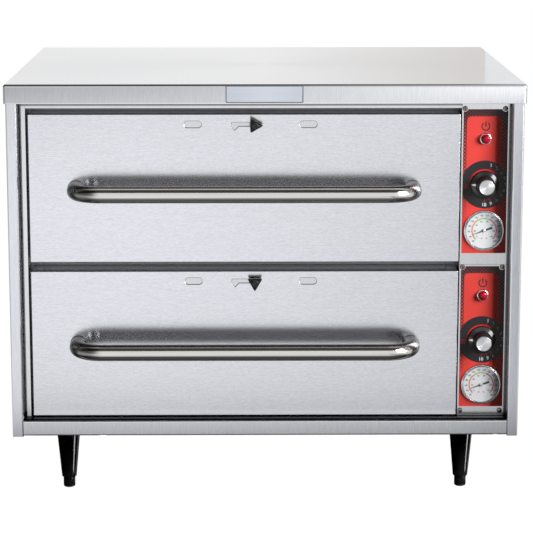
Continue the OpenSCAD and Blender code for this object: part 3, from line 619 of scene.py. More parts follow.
def overlay():
    """Printed film: red field, black dial disc and a fading pattern of squares round the field."""
    m = Mat("printed_film", Specular_IOR_Level=0.32)
    x = m.x * 1000.0
    z = m.z * 1000.0 + m.z.lt(0.36) * PITCH
    hx, r = (341.9 - 291.8) / 2, 6.0
    qx = (x - (341.9 + 291.8) / 2).abs() - (hx - r)
    qz = (z - (571.7 - 150.0)).abs() - (150.0 - r)
    a, b = qx.max(0.0), qz.max(0.0)
    d = (a * a + b * b).sqrt() + qx.max(qz).min(0.0) - r
    field = d.ramp(-0.15, 0.15, 1.0, 0.0, "LINEAR")
    dx, dz = x - CX, z - DIAL_Z
    disc = (dx * dx + dz * dz).sqrt().ramp(35.05, 35.35, 1.0, 0.0, "LINEAR")
    size = z.stops(400, 584, [(400, 0.0), (412, 0.0), (426, 0.34), (460, 0.46), (500, 0.54), (540, 0.62), (562, 0.72), (578, 0.84)])
    size = size + (x - CX) * 0.0008 * size.gt(0.02)
    dots = None
    for o in (0.0, 0.5):
        u = ((x - 286.5) / 5.2 + o).fract() - 0.5
        v = ((z - 370.5) / 5.2 + o).fract() - 0.5
        s = (size * 0.5 - u.abs().max(v.abs())).ramp(-0.03, 0.03, 0.0, 1.0, "LINEAR")
        dots = s if dots is None else dots.max(s)
    black = (dots * size.gt(0.02) * (1.0 - field)).max(disc)
    grain = m.noise((0.7, 0.7, 0.7), detail=2.0)
    wide = m.noise((25, 25, 25), detail=2.0)
    n = grain * 0.5 + wide * 0.5
    red = mix(m.t, n, (0.64, 0.049, 0.040), (0.83, 0.074, 0.060))
    dark = mix(m.t, n, (0.011, 0.010, 0.012), (0.022, 0.020, 0.023))
    m.color(red, dark, black)
    m.rough(grain * 0.1 + black * 0.04 + 0.36)
    m.bump(grain, 0.08, 0.02)
    return m.m


def ink(name, a, b, rough=0.45):
    m = Mat(name, Specular_IOR_Level=0.3)
    n = m.noise((0.5, 0.5, 0.5), detail=2.0)
    m.color(a, b, n)
    m.rough(n * 0.1 + rough)
    return m.m


def lens():
    m = Mat("red_lens", Coat_Weight=0.05, Coat_Roughness=0.12, Specular_IOR_Level=0.3)
    a = m.voronoi((2.2, 2.2, 2.2), "Distance")
    b = m.noise((1.4, 1.4, 1.4), detail=2.0)
    m.color((0.10, 0.0008, 0.004), (0.46, 0.002, 0.02), (a * 0.8 + b * 0.3).ramp(0.2, 0.75))
    m.rough(b * 0.12 + 0.16)
    m.bump(a, 0.3, 0.25)
    return m.m


def glass():
    m = bpy.data.materials.new("window_glass")
    m.use_nodes = True
    t = m.node_tree
    t.nodes.clear()
    out = t.nodes.new("ShaderNodeOutputMaterial")
    blend = t.nodes.new("ShaderNodeMixShader")
    clear = t.nodes.new("ShaderNodeBsdfTransparent")
    gloss = t.nodes.new("ShaderNodeBsdfGlossy")
    face = t.nodes.new("ShaderNodeLayerWeight")
    tc = t.nodes.new("ShaderNodeTexCoord")
    noise = t.nodes.new("ShaderNodeTexNoise")
    noise.inputs["Scale"].default_value = 90.0
    noise.inputs["Detail"].default_value = 2.0
    t.links.new(tc.outputs["Object"], noise.inputs["Vector"])
    tint = mix(t, Val(t, noise.outputs[0]), (0.975, 0.98, 0.985), (1.0, 1.0, 1.0))
    t.links.new(tint.sock, clear.inputs["Color"])
    gloss.inputs["Roughness"].default_value = 0.03
    face.inputs["Blend"].default_value = 0.5
    edge = Val(t, face.outputs["Facing"])
    t.links.new((edge * edge * edge * edge * 0.6 + 0.03).sock, blend.inputs[0])
    t.links.new(clear.outputs[0], blend.inputs[1])
    t.links.new(gloss.outputs[0], blend.inputs[2])
    t.links.new(blend.outputs[0], out.inputs["Surface"])
    return m


def badge_face():
    """Bare satin plate: faint streaks and a painted sheen from edge to middle, lighter in the middle."""
    m = Mat("badge_satin", Metallic=0.85)
    s = m.noise((60, 60, 0.9), detail=3.0, rough=0.6)
    g = (m.x * 1000.0).abs().ramp(0.0, 60.0)
    m.color((0.70, 0.74, 0.80), (0.55, 0.59, 0.66), s * 0.5 + g * 0.4)
    m.rough(s * 0.14 + 0.30)
    m.bump(s, 0.05, 0.03)
    return m.m


ZINC, WOOL, SHEATH, COPPER, NYLON, CAP = zinc(), wool(), sheath(), copper(), nylon(), spun()
OVERLAY, LENS, GLASS, BADGE = overlay(), lens(), glass(), badge_face()


def knob_black():
    """Black moulding: polished skirt, satin barrel."""
    m = Mat("black_knob", Specular_IOR_Level=0.75)
    a = m.noise((1.5, 1.5, 1.5), detail=3.0)
    b = m.noise((30, 30, 30), detail=2.0)
    m.color((0.009, 0.009, 0.010), (0.015, 0.015, 0.016), a * 0.4 + b * 0.6)
    m.rough((m.y * -1000.0).ramp(-Y_OVL + 6.0, -Y_OVL + 8.0, 0.13, 0.46) + (b - 0.5) * 0.08)
    m.bump(a, 0.03, 0.04)
    return m.m


BLACK_GLOSS = plastic("black_gloss", (0.011, 0.011, 0.012), 0.16, spec=0.5, per=3.0, bump=0.02)
BLACK_KNOB = knob_black()
BLACK_SATIN = plastic("black_satin", (0.011, 0.011, 0.013), 0.36, spec=0.4, per=1.2, bump=0.12)
PHENOLIC = plastic("phenolic", (0.62, 0.57, 0.46), 0.5, per=1.5, bump=0.1, amp=0.06)


def dial_enamel():
    """White enamel face with painted shade: greyer towards its right and upper edge, standing in for the bezel's
    shadow.
    """
    m = Mat("dial_enamel", Specular_IOR_Level=0.4)
    x = m.x * 1000.0 - CX
    z = m.z * 1000.0 + m.z.lt(0.36) * PITCH - GAUGE_Z
    n = m.noise((4, 4, 4), detail=3.0)
    # painted shade of the bezel, greyer towards the upper right
    tone = (x * 0.9 + z * 0.45 + (x * x + z * z).sqrt() * 0.35).ramp(2.0, 30.0)
    white = mix(m.t, n, (0.845, 0.855, 0.86), (0.875, 0.885, 0.89))
    m.color(white, (0.54, 0.56, 0.61), tone)
    m.rough(n * 0.08 + 0.32)
    m.bump(n, 0.02, 0.04)
    return m.m


DIAL = dial_enamel()
NEEDLE = plastic("needle_enamel", (0.020, 0.020, 0.021), 0.4, per=0.8)
HUB = plain_metal("needle_hub", (0.80, 0.76, 0.68), 0.35, per=0.8)
RIM = plain_metal("badge_rim", (0.16, 0.165, 0.175), 0.3, per=3)
WHITE_INK = ink("white_ink", (0.80, 0.80, 0.80), (0.92, 0.92, 0.92))
POINTER_GLOW = ink("pointer_white", (0.82, 0.82, 0.82), (0.95, 0.95, 0.95))
# the pointer ink glows a little: painted light that keeps it white in the shade of the knob's barrel
for k, v in (("Emission Color", (1, 1, 1, 1)), ("Emission Strength", 0.55)):
    next(n for n in POINTER_GLOW.node_tree.nodes if n.type == "BSDF_PRINCIPLED").inputs[k].default_value = v
RED_INK = ink("red_ink", (0.62, 0.022, 0.022), (0.80, 0.035, 0.03))
DARK_INK = ink("dark_ink", (0.022, 0.020, 0.021), (0.045, 0.042, 0.042))
DIAL_INK = ink("dial_ink", (0.03, 0.032, 0.036), (0.08, 0.082, 0.088))
ORANGE_INK = ink("orange_ink", (0.80, 0.22, 0.06), (0.90, 0.30, 0.09))
GREEN_INK = ink("green_ink", (0.30, 0.50, 0.08), (0.40, 0.60, 0.14))
CRIMSON_INK = ink("crimson_ink", (0.50, 0.07, 0.06), (0.62, 0.10, 0.08))
BROWN_INK = ink("brown_ink", (0.34, 0.17, 0.04), (0.48, 0.26, 0.08))


# ---------------------------------------------------------------- cabinet
g = Geo()
pan_shell(g, -374.5, 374.5, Y_TOP, Y_BACK, 4.0, Z_TOP - Z_HEM, lambda u, v, d: (u, v, Z_TOP - d), rc=4.6, seg=8)
top = put(g.build("top_sheet", TOP), "cabinet", "brushed_stainless", "top_panel")
sheet_finish(top, edge=0.45)

for side, name in ((1, "left"), (-1, "right")):
    h = SHEET / 2
    path = [(-351.5, Y_BK - h), (-371.5 + h, Y_BK - h), (-371.5 + h, Y_FL + h), (-355.5 - h, Y_FL + h), (-355.5 - h, Y_FACE - 0.5)]
    outline = bent(path, SHEET, 1.9, seg=6)
    g = Geo()
    rings = [[(side * x, y, z) for x, y in outline] for z in (Z_SIDE0, Z_SIDE1)]
    g.loft(rings, cap0=True, cap1=True)
    for z0, z1 in ((Z_SIDE0 + 0.02, Z_SIDE0 + SHEET), (Z_SIDE1 - SHEET, Z_SIDE1 - 0.02)):
        plate = round_rect(-371.5 + 1.3, -355.5 - 1.3, Y_FL + 1.3, Y_BK - 1.3, 1.0, n=3)
        g.loft([[(side * x, y, z) for x, y in plate] for z in (z0, z1)], cap0=True, cap1=True)
    ob = put(g.build(name + "_side_sheet", FLANGE, weld=False), "cabinet", "brushed_stainless", name + "_side_panel")
    modifier(ob, "BEVEL", width=0.35 * MM, segments=2, limit_method="ANGLE", angle_limit=math.radians(60))
    modifier(ob, "WEIGHTED_NORMAL", keep_sharp=True)

g = Geo()
h = SHEET / 2
outline = bent([(298.0, Z_BASE + h), (Y_FL + 0.2 + h, Z_BASE + h), (Y_FL + 0.2 + h, Z_RAIL - h), (Y_FACE - 0.5 - h, Z_RAIL - h), (Y_FACE - 0.5 - h, Z_BASE + 1.5)], SHEET, 2.0, seg=6)
g.loft([[(x, y, z) for y, z in outline] for x in (-355.2, 355.2)], cap0=True, cap1=True)
for x in (-296.5, 296.5):
    for y in (-192.5, 218.5):
        pad = round_rect(x - 30, x + 30, y - 30, y + 30, 4)
        hole = [(x + 4.8 * math.cos(a * math.pi / 16), y + 4.8 * math.sin(a * math.pi / 16)) for a in range(32)]
        g.loft([[(u, v, z) for u, v in pad] for z in (Z_BASE + SHEET, Z_BASE + 7.2)])
        g.loft([[(u, v, z) for u, v in hole] for z in (Z_BASE + 7.2, Z_BASE + SHEET)])
        for z in (Z_BASE + SHEET, Z_BASE + 7.2):
            flat = [[(u, v, z) for u, v in pad], [(u, v, z) for u, v in hole]]
            g.add([p for l in flat for p in l], fill(flat))
ob = put(g.build("base_sheet", RAIL), "cabinet", "brushed_stainless", "base_pan")
modifier(ob, "BEVEL", width=0.35 * MM, segments=2, limit_method="ANGLE", angle_limit=math.radians(60))
modifier(ob, "WEIGHTED_NORMAL", keep_sharp=True)

# badge: blank plate with a thin raised rim
g = Geo()
rings = []
for ins, y in ((0.0, Y_TOP), (0.0, -275.75), (0.12, -275.93), (0.35, -276.0), (1.15, -276.0), (1.35, -275.95), (1.45, -275.72)):
    rings.append([(u, y, v) for u, v in round_rect(-56.5 + ins, 54.5 - ins, 594.5 + ins, 619.5 - ins, 1.6 - ins * 0.5)])
g.loft(rings, mat=1, cap0=True)
inner = rings[-1]
g.add(inner, fill([inner]), 0)
put(g.build("badge_blank", [BADGE, RIM]), "cabinet", "badge_metal", "badge_plate")

# legs and feet
g = Geo()
prof = [(0, 56), (6.1, 56)] + [(6.1, 16.6), (6.6, 15.9), (9.3, 15.9)] + smooth_profile([(9.3, 15.9), (11.0, 16.6), (11.3, 20), (17.8, 92), (19.0, 95.2), (19.0, 102.25), (18.0, 102.28)], 1.6, 5) + [(4.7, 102.28), (4.7, 108.6), (4.2, 109.2), (0, 109.2)]
for x in (-296.5, 296.5):
    for y in (-192.5, 218.5):
        g.lathe(prof, at_z(x, y), n=72)
put(g.build("leg_set", BLACK_GLOSS, angle=50), "cabinet", "black_plastic", "legs")
foot = [(0, 0)] + smooth_profile([(0.2, 0), (6.4, 0), (8.2, 0.9), (8.85, 2.6), (8.85, 14.2), (8.2, 15.6), (6.0, 15.6), (6.0, 53.2), (5.2, 54), (0.2, 54)], 0.9, 4) + [(0, 54)]
for n, x, y in (("front_left", -1, -192.5), ("front_right", 1, -192.5), ("back_left", -1, 218.5), ("back_right", 1, 218.5)):
    g = Geo()
    g.lathe(foot, at_z(x * 296.5, y), n=56)
    put(g.build(n + "_foot_pad", BLACK_GLOSS, angle=50), n + "_levelling_foot", "black_plastic", n + "_foot")

# ---------------------------------------------------------------- drawers
for u, dz in SETS:
    body = u + "_drawer"
    g = Geo()
    holes = [stadium(x, VENT_Z + dz, 25, 9.6) for x in (VENT_XL, VENT_XR)]
    hook = [(-10.75 + 2.75 * math.cos(a), 2.75 * math.sin(a)) for a in [math.radians(-90 + 18 * i) for i in range(11)]]
    hook += [(-39.5, 2.75), (-47.7, 2.75), (-48.5, 1.95), (-48.5, -4.0), (-48.2, -4.6), (-44.5, -8.35), (-44.0, -8.5), (-43.5, -8.35), (-39.8, -4.6), (-39.5, -4.0), (-39.5, -2.75)]
    holes.append([(x, VENT_Z + dz + z) for x, z in hook])
    pan_shell(g, -343, 283, 357.2 + dz, 575.4 + dz, 1.7, Y_INNER - 1.4 - Y_FACE, lambda a, b, d: (a, Y_FACE + d, b), holes=holes, rc=2.2, rim=0.95,
              tail=((0.25, Y_INNER - 1.15 - Y_FACE), (SHEET - 0.25, Y_INNER - 1.15 - Y_FACE), (SHEET, Y_INNER - 1.4 - Y_FACE), (SHEET, SHEET + 2.0)))
    front = put(g.build(u + "_front_sheet", DRAWER), body, "brushed_stainless", u + "_drawer_front")
    modifier(front, "WEIGHTED_NORMAL", keep_sharp=True, weight=100)
    # guides of the vent slide, inside the front
    g = Geo()
    for s in (1, -1):
        path = [(Y_FACE + SHEET + 0.1, s * 11.1), (Y_FACE + SHEET + 2.4, s * 11.1), (Y_FACE + SHEET + 2.4, s * 7.4)]
        g.loft([[(x, y, VENT_Z + dz + z) for y, z in bent(path, 1.2, 1.0)] for x in (-140, 122)], cap0=True, cap1=True)
    put(g.build(u + "_vent_guides", FRAME), body, "brushed_stainless")

    # handle: bent tube with a small weld fillet at each end
    xh, yb, rb = 244.0, Y_FACE - 55.0, 39.0
    path = []
    for i in range(5):
        path.append(((-xh, Y_FACE - 0.05 - (55 - rb) * i / 5), (0, -1)))
    for i in range(25):
        a = math.pi / 2 * i / 24
        path.append(((-xh + rb * (1 - math.cos(a)), yb + rb * (1 - math.sin(a))), (math.sin(a), -math.cos(a))))
    half = list(path)
    for i in range(1, 12):
        path.append(((-xh + rb + (2 * (xh - rb)) * i / 12, yb), (1, 0)))
    path += [((-px, py), (tx, -ty)) for (px, py), (tx, ty) in reversed(half)]
    rings, total = [], len(path)
    for k, ((px, py), (tx, ty)) in enumerate(path):
        reach = Y_FACE - py
        r = 12.0 + (0.9 * (1 - reach / 1.6) ** 2 if reach < 1.6 else 0.0)
        ring = []
        for i in range(64):
            a = 2 * math.pi * i / 64
            ring.append((-30 + px - ty * r * math.cos(a), py + tx * r * math.cos(a), HANDLE_Z + dz + r * math.sin(a)))
        rings.append(ring)
    g = Geo()
    g.loft(rings, cap0=True, cap1=True)
    put(g.build(u + "_handle_tube", POLISHED), body, "polished_stainless", u + "_handle")

    # food pan: rolled rim, drawn walls, rounded floor
    rim = 542.0 + dz
    rows = [(2.6, -2.9, 30), (1.0, -2.9, 30), (0.25, -2.2, 30), (0.0, -1.3, 30), (0.3, -0.5, 30), (1.2, 0.0, 30), (18.5, 0.0, 38), (20.8, -0.4, 39.4), (22.3, -1.5, 40), (23.0, -3.4, 40),
            (23.6, -40, 40), (25.0, -120, 39), (26.0, -133, 38), (28.5, -141, 36), (33.0, -146.6, 33), (39.0, -149.0, 29), (47.0, -149.4, 24)]
    rings = [[(a, b, rim + z) for a, b in round_rect(-295 + i, 235 - i, -180 + i, 145 - i, r, n=9)] for i, z, r in rows]
    g = Geo()
    g.loft(rings)
    g.add(rings[-1], fill([rings[-1]]))
    ob = g.build(u + "_pan_shell", PAN, angle=60)
    centre = min(ob.data.polygons, key=lambda p: p.center.z)
    if centre.normal.z < 0:
        ob.data.flip_normals()
    put(ob, body, "liner_steel", u + "_food_pan")
    modifier(ob, "SOLIDIFY", thickness=0.6 * MM, offset=-1.0, use_even_offset=True)

    # clamp knob: three ridged lobes round a hub, on its stud
    turn = 0.0 if u == "upper" else 90.0

    def lobe(a):
        off = abs((math.degrees(a) % 120) - 60)
        flat = 6.5 / math.cos(math.radians(off))
        return (flat ** -9 + 12.3 ** -9) ** (-1 / 9) + 0.2 * math.cos(36 * a)

    def knob_ring(k, blend, y, dip):
        ring = []
        for i in range(216):
            a = 2 * math.pi * i / 216
            r = (lobe(a) * blend + 6.2 * (1 - blend)) * k
            fall = dip * (1 - ((1 + math.cos(3 * a)) / 2) ** 1.2)
            b = a - math.radians(turn)
            ring.append((KNOB_X + r * math.cos(b), Y_FACE - (y - fall), VENT_Z + dz + r * math.sin(b)))
        return ring

    g = Geo()
    g.loft([knob_ring(k, bl, y, d) for k, bl, y, d in (
        (0.0, 0, 0.4, 0), (0.96, 0, 0.4, 0), (1.0, 0, 0.8, 0), (0.98, 0, 1.6, 0), (0.86, 0, 2.6, 0), (0.84, 0, 8.8, 0), (0.92, 1, 9.6, 0), (0.985, 1, 10.0, 0), (1.0, 1, 10.7, 0), (0.99, 1, 16.2, 1.6),
        (0.965, 1, 17.2, 2.0), (0.90, 1, 17.8, 2.2), (0.72, 1, 18.6, 2.0), (0.62, 0.6, 19.3, 1.0), (0.86, 0, 19.6, 0), (0.85, 0, 20.5, 0), (0.78, 0, 20.9, 0), (0.5, 0, 21.0, 0), (0.44, 0, 20.6, 0), (0.0, 0, 20.5, 0))])
    stud = [(0, -6.4), (2.0, -6.4), (2.3, -6.1), (2.3, 3.0), (0, 3.0)]
    g.lathe(stud, at_y(KNOB_X, VENT_Z + dz, Y_FACE), n=24)
    put(g.build(u + "_clamp_knob", BLACK_SATIN, angle=40), u + "_vent_clamp", "black_moulding", u + "_vent_knob")

# ---------------------------------------------------------------- controls
for u, dz in SETS:
    prof = [(3.05, 0.5)] + smooth_profile([(3.2, 0.45), (20.0, 0.45), (20.0, 2.55), (19.35, 3.2), (14.0, 5.35), (13.15, 6.7), (12.55, 16.4), (12.0, 27.75), (11.2, 27.75), (11.1, 27.0)], 0.9, 4) + [(11.1, 26.9), (3.05, 26.9)]
    g = Geo()
    g.lathe(prof, at_y(CX, DIAL_Z + dz, Y_OVL), n=96, closed=True)
    put(g.build(u + "_knob_body", BLACK_KNOB, angle=38), u + "_thermostat_knob", "black_plastic", u + "_knob")
    g = Geo()
    g.lathe([(0, 27.0), (10.95, 27.0)] + smooth_profile([(10.95, 27.0), (10.95, 28.5), (10.2, 28.8), (9.5, 28.45), (0.3, 28.4)], 0.5, 4) + [(0, 28.4)], at_y(CX, DIAL_Z + dz, Y_OVL), n=72)
    put(g.build(u + "_knob_disc", CAP, angle=40), u + "_thermostat_knob", "aluminium_cap", u + "_knob_cap")
    # pointer printed on the skirt: a white wedge laid on the cone; its ink glows a little, painted light for the shade
    # of the barrel
    g = Geo()

    def skirt(r):
        pts = [(20.0, 2.6), (19.35, 3.25), (14.0, 5.4), (13.15, 6.75)]
        for (r0, h0), (r1, h1) in zip(pts, pts[1:]):
            if r1 <= r <= r0:
                return h0 + (h1 - h0) * (r0 - r) / (r0 - r1)
        return 2.75

    rows = []
    for i in range(9):
        r = 19.2 - 5.2 * i / 8
        w = 0.35 + 1.55 * i / 8
        row = []
        for j in range(5):
            a = w * (j / 2 - 1) / r
            row.append((CX - r * math.cos(a), Y_OVL - skirt(r) - 0.12, DIAL_Z + dz + r * math.sin(a)))
        rows.append(row)
    g.loft(rows, wrap=False)
    put(g.build(u + "_knob_pointer", POINTER_GLOW), u + "_thermostat_knob", "black_plastic")

g, gl, gb = Geo(), Geo(), Geo()
for u, dz in SETS:
    # thermometer case: knurled rim, stepped bezel, hollow can
    prof = smooth_profile([(27.0, -24.0), (27.0, -0.02), (28.6, 0.0), (30.0, 1.0), (30.0, 5.8), (29.2, 6.8), (28.5, 6.9), (28.4, 7.6), (27.7, 9.0), (26.9, 9.2), (26.4, 8.6), (26.4, 3.7), (25.2, 3.55), (25.2, -23.0)], 0.35, 2) + [(0, -23.0), (0, -24.0)]
    knurl = [k for k, (r, h) in enumerate(prof) if r > 29.7 and 1.0 < h < 6.0]
    g.lathe(prof, at_y(CX, GAUGE_Z + dz, Y_OVL), n=240, closed=True, tweak=lambda k, i, r: (-0.28 if i % 2 else 0.0) if k in knurl else 0.0)
    # movement behind the dial, with the bearing of the needle arbor
    g.lathe([(0.87, 1.2), (5.4, 1.2), (6.0, 0.6), (6.0, -22.0), (0.87, -22.0)], at_y(CX, GAUGE_Z + dz, Y_OVL), n=32, closed=True)
    # lamp bezel and its jewel
    ring = smooth_profile([(6.2, -24.0), (6.2, -0.02), (9.0, 0.0), (9.0, 1.1), (8.1, 2.7), (6.9, 3.25), (6.36, 2.8), (6.36, 0.95), (5.2, 0.9), (5.2, -24.0)], 0.5, 3)
    gb.lathe(ring, at_y(CX, LAMP_Z + dz, Y_OVL), n=72, closed=True)
    rows = [(0.0, 1.1, 0), (6.2, 1.1, 0), (6.2, 3.35, 0), (7.25, 3.75, 0), (6.9, 5.2, 0.5), (5.6, 6.8, 0), (3.7, 7.9, 0.5), (1.5, 8.4, 0), (0.0, 8.5, 0.5)]
    rings = []
    for r, hgt, tw in rows:
        rings.append([(CX + r * math.cos((i + tw) * math.pi / 7), Y_OVL - hgt, LAMP_Z + dz + r * math.sin((i + tw) * math.pi / 7)) for i in range(14)])
    for a, b in zip(rings, rings[1:]):
        tri = []
        for i in range(14):
            j = (i + 1) % 14
            tri += [(i, j, 14 + i), (j, 14 + j, 14 + i)]
        gl.add(a + b, tri)
# the cases cast no shadow; the dial's painted shade stands in for it
put(g.build("thermometer_cases", bezel(), angle=28), "cabinet", "bright_trim", "gauge_cases").visible_shadow = False
put(gb.build("lamp_rings", CHROME, angle=30), "cabinet", "bright_trim", "lamp_bezels")
put(gl.build("lamp_jewels", LENS, flat=True), "cabinet", "red_lens", "lamp_lenses")


# ---------------------------------------------------------------- printed marks
def text_to(geo, body, size, cx, cz, y):
    """Flat lettering, size being the height of a figure, centred on cx, cz and facing the front."""
    cu = bpy.data.curves.new("lettering", "FONT")
    cu.body, cu.align_x, cu.align_y = body, "CENTER", "CENTER"
    cu.resolution_u = 3
    cu.offset = 0.018
    ob = bpy.data.objects.new("lettering", cu)
    SCENE.collection.objects.link(ob)
    bpy.context.view_layer.update()
    me = bpy.data.meshes.new_from_object(ob.evaluated_get(bpy.context.evaluated_depsgraph_get()))
    k = size / 0.70
    xs = [v.co.x for v in me.vertices]
    ys = [v.co.y for v in me.vertices]
    mx, my = (min(xs) + max(xs)) / 2, (min(ys) + max(ys)) / 2
    geo.add([(cx + (v.co.x - mx) * k, y, cz + (v.co.y - my) * k) for v in me.vertices], [tuple(p.vertices) for p in me.polygons])
    bpy.data.objects.remove(ob)
    bpy.data.curves.remove(cu)
    bpy.data.meshes.remove(me)


def arc_to(geo, cx, cz, y, r0, r1, a0, a1, n=32):
    """Ring piece from a0 to a1 degrees, clockwise from the top."""
    pts = [math.radians(a0 + (a1 - a0) * i / n) for i in range(n + 1)]
    geo.loft([[(cx + r * math.sin(a), y, cz + r * math.cos(a)) for a in pts] for r in (r0, r1)], wrap=False)


def bar_to(geo, cx, cz, y, r0, r1, a, w0, w1=None):
    """Radial bar at a degrees clockwise from the top."""
    w1 = w0 if w1 is None else w1
    t = math.radians(a)
    s, c = math.sin(t), math.cos(t)
    pts = [(cx + r * s + w * c, y, cz + r * c - w * s) for r, w in ((r0, -w0 / 2), (r0, w0 / 2), (r1, w1 / 2), (r1, -w1 / 2))]
    geo.add(pts, [(0, 1, 2, 3)])


def front_facing(ob):
    """Printed marks face the front."""
    bm = bmesh.new()
    bm.from_mesh(ob.data)
    for f in bm.faces:
        if f.normal.y > 0:
            f.normal_flip()
    bm.to_mesh(ob.data)
    bm.free()
    return ob


whites, reds, darks = Geo(), Geo(), Geo()
scale, orange, green, crimson, brown = Geo(), Geo(), Geo(), Geo(), Geo()
for u, dz in SETS:
    y = Y_OVL - 0.06
    for i in range(1, 11):
        a = 17.3 + (180 - 17.3) * (i - 1) / 9
        t = math.radians(a)
        text_to(whites, str(i), 4.9, CX + 29.6 * math.sin(t), DIAL_Z + dz + 29.6 * math.cos(t), y)
        bar_to(reds, CX, DIAL_Z + dz, y, 22.3, 26.2, a, 0.8)
    arc_to(reds, CX, DIAL_Z + dz, y, 20.6, 22.7, 268, 400, 60)
    text_to(reds, "OFF", 3.1, CX - 27.4, DIAL_Z + dz - 4.6, y)
    bar_to(reds, CX, DIAL_Z + dz, y, 21.6, 31.5, 268.5, 0.7)
    z = 557.0 + dz
    arc_to(darks, CX, z, y, 4.7, 6.5, 32, 328, 56)
    darks.add([(CX - 0.9, y, z - 0.4), (CX + 0.9, y, z - 0.4), (CX + 0.9, y, z + 7.4), (CX - 0.9, y, z + 7.4)], [(0, 1, 2, 3)])
    # thermometer dial
    y, z = Y_OVL - 4.4 - 0.05, GAUGE_Z + dz
    arc_to(orange, CX, z, y, 17.0, 18.7, 225, 322.5)
    arc_to(green, CX, z, y, 17.0, 18.7, 322.5, 382.5)
    arc_to(crimson, CX, z, y, 17.0, 18.7, 22.5, 135)
    for i in range(14):
        a = 225 + 270 * i / 13
        t = math.radians(a)
        text_to(scale, str(20 + 20 * i), 2.5, CX + 22.3 * math.sin(t), z + 22.3 * math.cos(t), y)
        bar_to(scale, CX, z, y, 18.8, 19.8, a, 0.35)
    for i in range(8):
        a = 230 + 260 * i / 7
        t = math.radians(a)
        text_to(scale, str(20 * i), 2.2, CX + 13.7 * math.sin(t), z + 13.9 * math.cos(t), y)
    for i in range(53):
        bar_to(scale, CX, z, y, 16.3, 16.9, 225 + 270 * i / 52, 0.2)
    text_to(scale, "o", 1.5, CX - 1.9, z - 6.6, y)
    for s in (-1, 1):
        brown.add([(CX + s * 3.6 + 1.0 * math.cos(k * math.pi / 8), y, z - 11.6 + 1.0 * math.sin(k * math.pi / 8)) for k in range(16)], [tuple(range(16))])
    # light hub over the needle arbor
    g = Geo()
    g.lathe([(0, 6.02), (2.3, 6.02), (2.3, 6.12), (1.9, 6.38), (1.0, 6.48), (0, 6.5)], at_y(CX, z, Y_OVL), n=32)
    put(g.build(u + "_needle_boss", HUB), u + "_needle", "needle_black")
for name, geo, mat, slot in (("dial_numbers", whites, WHITE_INK, "red_overlay"), ("dial_marks", reds, RED_INK, "red_overlay"), ("power_symbols", darks, DARK_INK, "red_overlay"),
                             ("scale_figures", scale, DIAL_INK, "dial_white"), ("scale_orange", orange, ORANGE_INK, "dial_white"), ("scale_green", green, GREEN_INK, "dial_white"),
                             ("scale_crimson", crimson, CRIMSON_INK, "dial_white"), ("scale_dots", brown, BROWN_INK, "dial_white")):
    put(front_facing(geo.build(name, mat, weld=False)), "cabinet", slot)


# ---------------------------------------------------------------- pieces that keep their own shape
def dress(node, mat, edge=0.0, angle=35):
    ob = NODES[node]
    ob.data.materials.clear()
    ob.data.materials.append(mat)
    if edge:
        modifier(ob, "WELD", merge_threshold=2e-6)
        modifier(ob, "DECIMATE", decimate_type="DISSOLVE", angle_limit=math.radians(0.5))
        modifier(ob, "BEVEL", width=edge * MM, segments=2, limit_method="ANGLE", angle_limit=math.radians(angle), harden_normals=True)
        modifier(ob, "WEIGHTED_NORMAL", keep_sharp=True)


dress("back_panel", BACK, 0.4)
dress("face_frame", FRAME, 0.4)
dress("cavity_side_walls", LINER, 0.4)
dress("cavity_back_wall", LINER, 0.4)
dress("cavity_decks", LINER, 0.4)
dress("insulation", WOOL, 2.0)
dress("sensor_lines", COPPER)
dress("drawer_tracks", ZINC, 0.4)
dress("heating_elements", SHEATH)
dress("control_plates", PLATE, 0.4)
dress("control_overlays", OVERLAY)
dress("thermostats", BLACK_SATIN, 0.5)
dress("gauge_dials", DIAL)
dress("gauge_windows", GLASS)
dress("screws", SCREW)
dress("cord_gland", BLACK_SATIN, 0.5)
dress("terminal_block", PHENOLIC, 0.5)
for u, dz in SETS:
    dress(u + "_drawer_inner_panel", LINER, 0.4)
    dress(u + "_drawer_insulation", WOOL, 2.0)
    dress(u + "_handle_bolts", ZINC)
    dress(u + "_drawer_frame", ZINC, 0.5)
    dress(u + "_front_rollers", NYLON)
    dress(u + "_rear_rollers", NYLON)
    dress(u + "_vent_slide", SLIDE, 0.3)
    dress(u + "_knob_shaft", SPRING)
    dress(u + "_gauge_needle", NEEDLE)


# ---------------------------------------------------------------- surroundings, light, camera
def emission(name, build):
    m = bpy.data.materials.new(name)
    m.use_nodes = True
    t = m.node_tree
    t.nodes.clear()
    out = t.nodes.new("ShaderNodeOutputMaterial")
    tc = t.nodes.new("ShaderNodeTexCoord")
    sep = t.nodes.new("ShaderNodeSeparateXYZ")
    t.links.new(tc.outputs["Object"], sep.inputs[0])
    build(t, out, *(Val(t, o) for o in sep.outputs))
    m.cycles.emission_sampling = "NONE"
    return m


def plane(name, x0, x1, y0, y1, z, mat):
    me = bpy.data.meshes.new(name)
    me.from_pydata([(x0, y0, z), (x1, y0, z), (x1, y1, z), (x0, y1, z)], [], [(0, 1, 2, 3)])
    me.materials.append(mat)
    ob = bpy.data.objects.new(name, me)
    SCENE.collection.objects.link(ob)
    return ob


def floor_shader(t, out, x, y, z):
    e = t.nodes.new("ShaderNodeEmission")
    d = t.nodes.new("ShaderNodeBsdfDiffuse")
    s = t.nodes.new("ShaderNodeAddShader")
    e.inputs["Color"].default_value = (1, 1, 1, 1)
    e.inputs["Strength"].default_value = 1.0
    d.inputs["Color"].default_value = (0.03, 0.03, 0.03, 1)
    t.links.new(e.outputs[0], s.inputs[0])
    t.links.new(d.outputs[0], s.inputs[1])
    t.links.new(s.outputs[0], out.inputs["Surface"])


floor = plane("floor", -14, 14, -14, 14, 0.0, emission("floor_white", floor_shader))
floor.visible_diffuse = floor.visible_glossy = False


